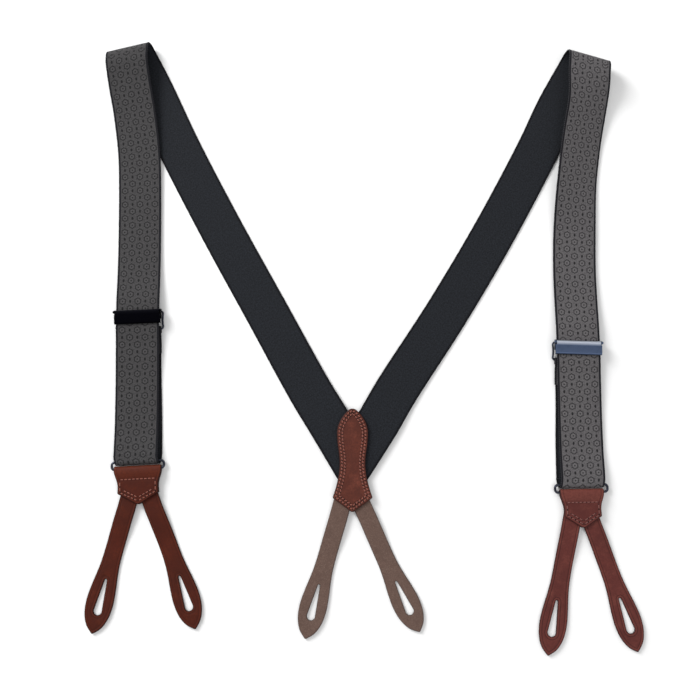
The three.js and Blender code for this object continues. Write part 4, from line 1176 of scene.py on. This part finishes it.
def prism(outline, x0, x1):
    """A (y, z) outline drawn out along x."""
    n = len(outline)
    pts = [(x0, y, z) for y, z in outline] + [(x1, y, z) for y, z in outline]
    faces = [list(range(n))[::-1], [n + i for i in range(n)], *tube_faces(2, n)]
    return np.array(pts), faces, np.zeros((2 * n, 2))


def softened(obj, width_mm, segments=3):
    """Bevels sharp edges, applied to the mesh."""
    m = obj.modifiers.new("bevel", "BEVEL")
    m.width, m.segments, m.limit_method, m.angle_limit = width_mm / 1000, segments, "ANGLE", 0.7
    m.harden_normals = True
    bpy.context.view_layer.update()
    baked = bpy.data.meshes.new_from_object(
        obj.evaluated_get(bpy.context.evaluated_depsgraph_get()))
    obj.modifiers.clear()
    obj.data = baked
    return obj


def build_lever(name, leg):
    angle = leg["adjuster_angle"]
    foot, face = KNUCKLE_R - LEVER_LENGTH, Z_PIN + KNUCKLE_R
    low = Z_PIN - KNUCKLE_R + 0.1
    inside = CHEEK_X - GAP
    wide = CHEEK_X + SHEET_METAL - GAP / 2
    # A sheet that starts on the knuckle, runs down nearly level and turns in at its foot.
    y0, t, lip_r = -2.2, SHEET_METAL, 1.4
    lip = arc(foot + lip_r, face - 1.95, lip_r, 90, 180, 9)
    inner_lip = arc(foot + lip_r, face - 1.95, lip_r - t, 180, 90, 7)
    plate = [(y0, face - 0.32), *lip, (foot, low), (foot + t, low), *inner_lip,
             (y0, face - 0.32 - t)]
    bridge = [(-0.3, face - 0.06), (y0 - 0.5, face - 0.33), (y0 - 0.5, face - 0.35 - t),
              (-0.9, face - 0.25 - t)]
    knuckle = arc(0, Z_PIN, KNUCKLE_R, 0, 360, 33)[:-1]
    parts = [prism(plate[::-1], -wide, wide), prism(bridge[::-1], -inside, inside),
             prism(knuckle, -inside, inside)]
    pts, faces, _ = joined(parts)
    # band marks a painted highlight on the upper side of the lever's knuckle.
    knuckle_highlight = ramp(pts[:, 1], -1.0, -0.4) * ramp(pts[:, 2], Z_PIN, Z_PIN + 0.5)
    obj = mesh_object(f"{name}_lever", placed(pts, leg["pin"], angle), faces,
                      [M[f"plate_{name}"]], values={"band": knuckle_highlight})
    softened(obj, 0.18)
    teeth = []
    tip = Z_AT_ADJUSTER + WEB_THICK / 2 + 0.06
    pitch = (WEB_WIDTH - 1) / TEETH
    for i in range(TEETH):
        x = -WEB_WIDTH / 2 + 0.5 + (i + 0.5) * pitch
        base = [(x + sx * pitch / 2, sy * 0.35, tip + 0.55)
                for sx, sy in ((-1, -1), (1, -1), (1, 1), (-1, 1))]
        faces = [(0, 1, 2, 3), (0, 4, 1), (1, 4, 2), (2, 4, 3), (3, 4, 0)]
        teeth.append((np.array([*base, (x, 0, tip)]), faces, np.zeros((5, 2))))
    pts, faces, _ = joined(teeth)
    bite = mesh_object(f"{name}_lever_teeth", placed(pts, leg["pin"], angle), faces,
                       [M[f"plate_{name}"]], smooth=False)
    for piece in (obj, bite):
        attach(piece, f"{name}_lever")
    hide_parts(f"{name}_adjuster_lever")


def build_metal(name, c, leg):
    build_lever(name, leg)
    angle = leg["adjuster_angle"]
    width = WEB_WIDTH + 2 * GAP + LOOP_WIRE + 0.8
    outline = rounded_rectangle(c["inboard"] * LOOP_SHIFT, (LOOP_TOP + LOOP_BOTTOM) / 2, width,
                                LOOP_HEIGHT - LOOP_WIRE, 2.2, waist=0.5)
    loop = wire_ring(f"{name}_loop_wire", outline, LOOP_R, Z_LOOP, M["wire"], leg["pin"], angle)
    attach(loop, f"{name}_adjuster")
    stands_for(f"{name}_adjuster_wire_loop")

    ring_angle = leg["ring_angle"]
    inside = WEB_WIDTH + RETURN_SHIFT + 2 * RING_SIDE
    outline = rounded_rectangle(c["inboard"] * RETURN_SHIFT / 2, -RING_SPACING / 2,
                                inside + RING_WIRE, RING_SPACING, RING_CORNER)
    ring = wire_ring(f"{name}_ring_wire", outline, RING_WIRE / 2, Z_BAR, M["wire"], leg["bar"],
                     ring_angle)
    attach(ring, f"{name}_ring")
    stands_for(f"{name}_strap_ring")
    # The frame and pin take the plate material, which on the right side carries the painted blue
    # reflection.
    for node in (f"{name}_adjuster_frame", f"{name}_adjuster_pin"):
        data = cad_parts[node].data
        data.materials.clear()
        data.materials.append(M[f"plate_{name}"])


for side_name, side_layout in SIDES.items():
    leg_of_side = build_strap(side_name, side_layout)
    build_tab(side_name, side_layout, leg_of_side)
    build_metal(side_name, side_layout, leg_of_side)
build_patch()


# ---- stage, light and camera
def floor(half=12, z=-0.0001):
    g = Graph("floor_white")
    n = g.noise(g.rest(), 3.0, 2.0)
    g.set(Base_Color=g.mix(n, (0.79, 0.79, 0.79), (0.81, 0.81, 0.81)), Roughness=0.9,
          Specular_IOR_Level=0.1)
    data = bpy.data.meshes.new("floor")
    corners = [(-half, -half, z), (half, -half, z), (half, half, z), (-half, half, z)]
    data.from_pydata(corners, [], [(0, 1, 2, 3)])
    data.materials.append(g.material)
    linked("floor", data)


def area_light(name, place, size, power):
    """A round light that looks at the object's middle, in metres and watts."""
    data = bpy.data.lights.new(name, "AREA")
    data.shape, data.size, data.energy = "DISK", size, power
    obj = linked(name, data)
    obj.location = place
    obj.rotation_euler = (-Vector(place)).to_track_quat("-Z", "Y").to_euler()


floor()
area_light("key", (-1.5, 1.25, 1.35), 1.0, 46)
area_light("low", (-2.1, 1.7, 0.85), 1.3, 34)
area_light("fill", (0.9, -0.9, 1.9), 1.6, 9)
world_light = bpy.data.worlds.new("studio")
bpy.context.scene.world = world_light
world_light.use_nodes = True
background = world_light.node_tree.nodes["Background"]
background.inputs["Color"].default_value = (1, 1, 1, 1)
background.inputs["Strength"].default_value = 0.72
bpy.context.scene.view_settings.view_transform = "Standard"

# The camera's height in metres, its lean, and its focal length as a share of the picture's width.
HEIGHT, TILT, FOCAL, SENSOR = 0.8, math.radians(9), 1000 / 700, 36
camera = linked("camera", bpy.data.cameras.new("camera"))
camera.data.sensor_width = SENSOR
camera.data.lens = SENSOR * FOCAL
camera.location = metres([-2, 0, 0]) + [0, -HEIGHT * math.tan(TILT), HEIGHT]
camera.rotation_euler = (TILT, 0, 0)
camera.data.clip_start = 0.01
bpy.context.scene.camera = camera
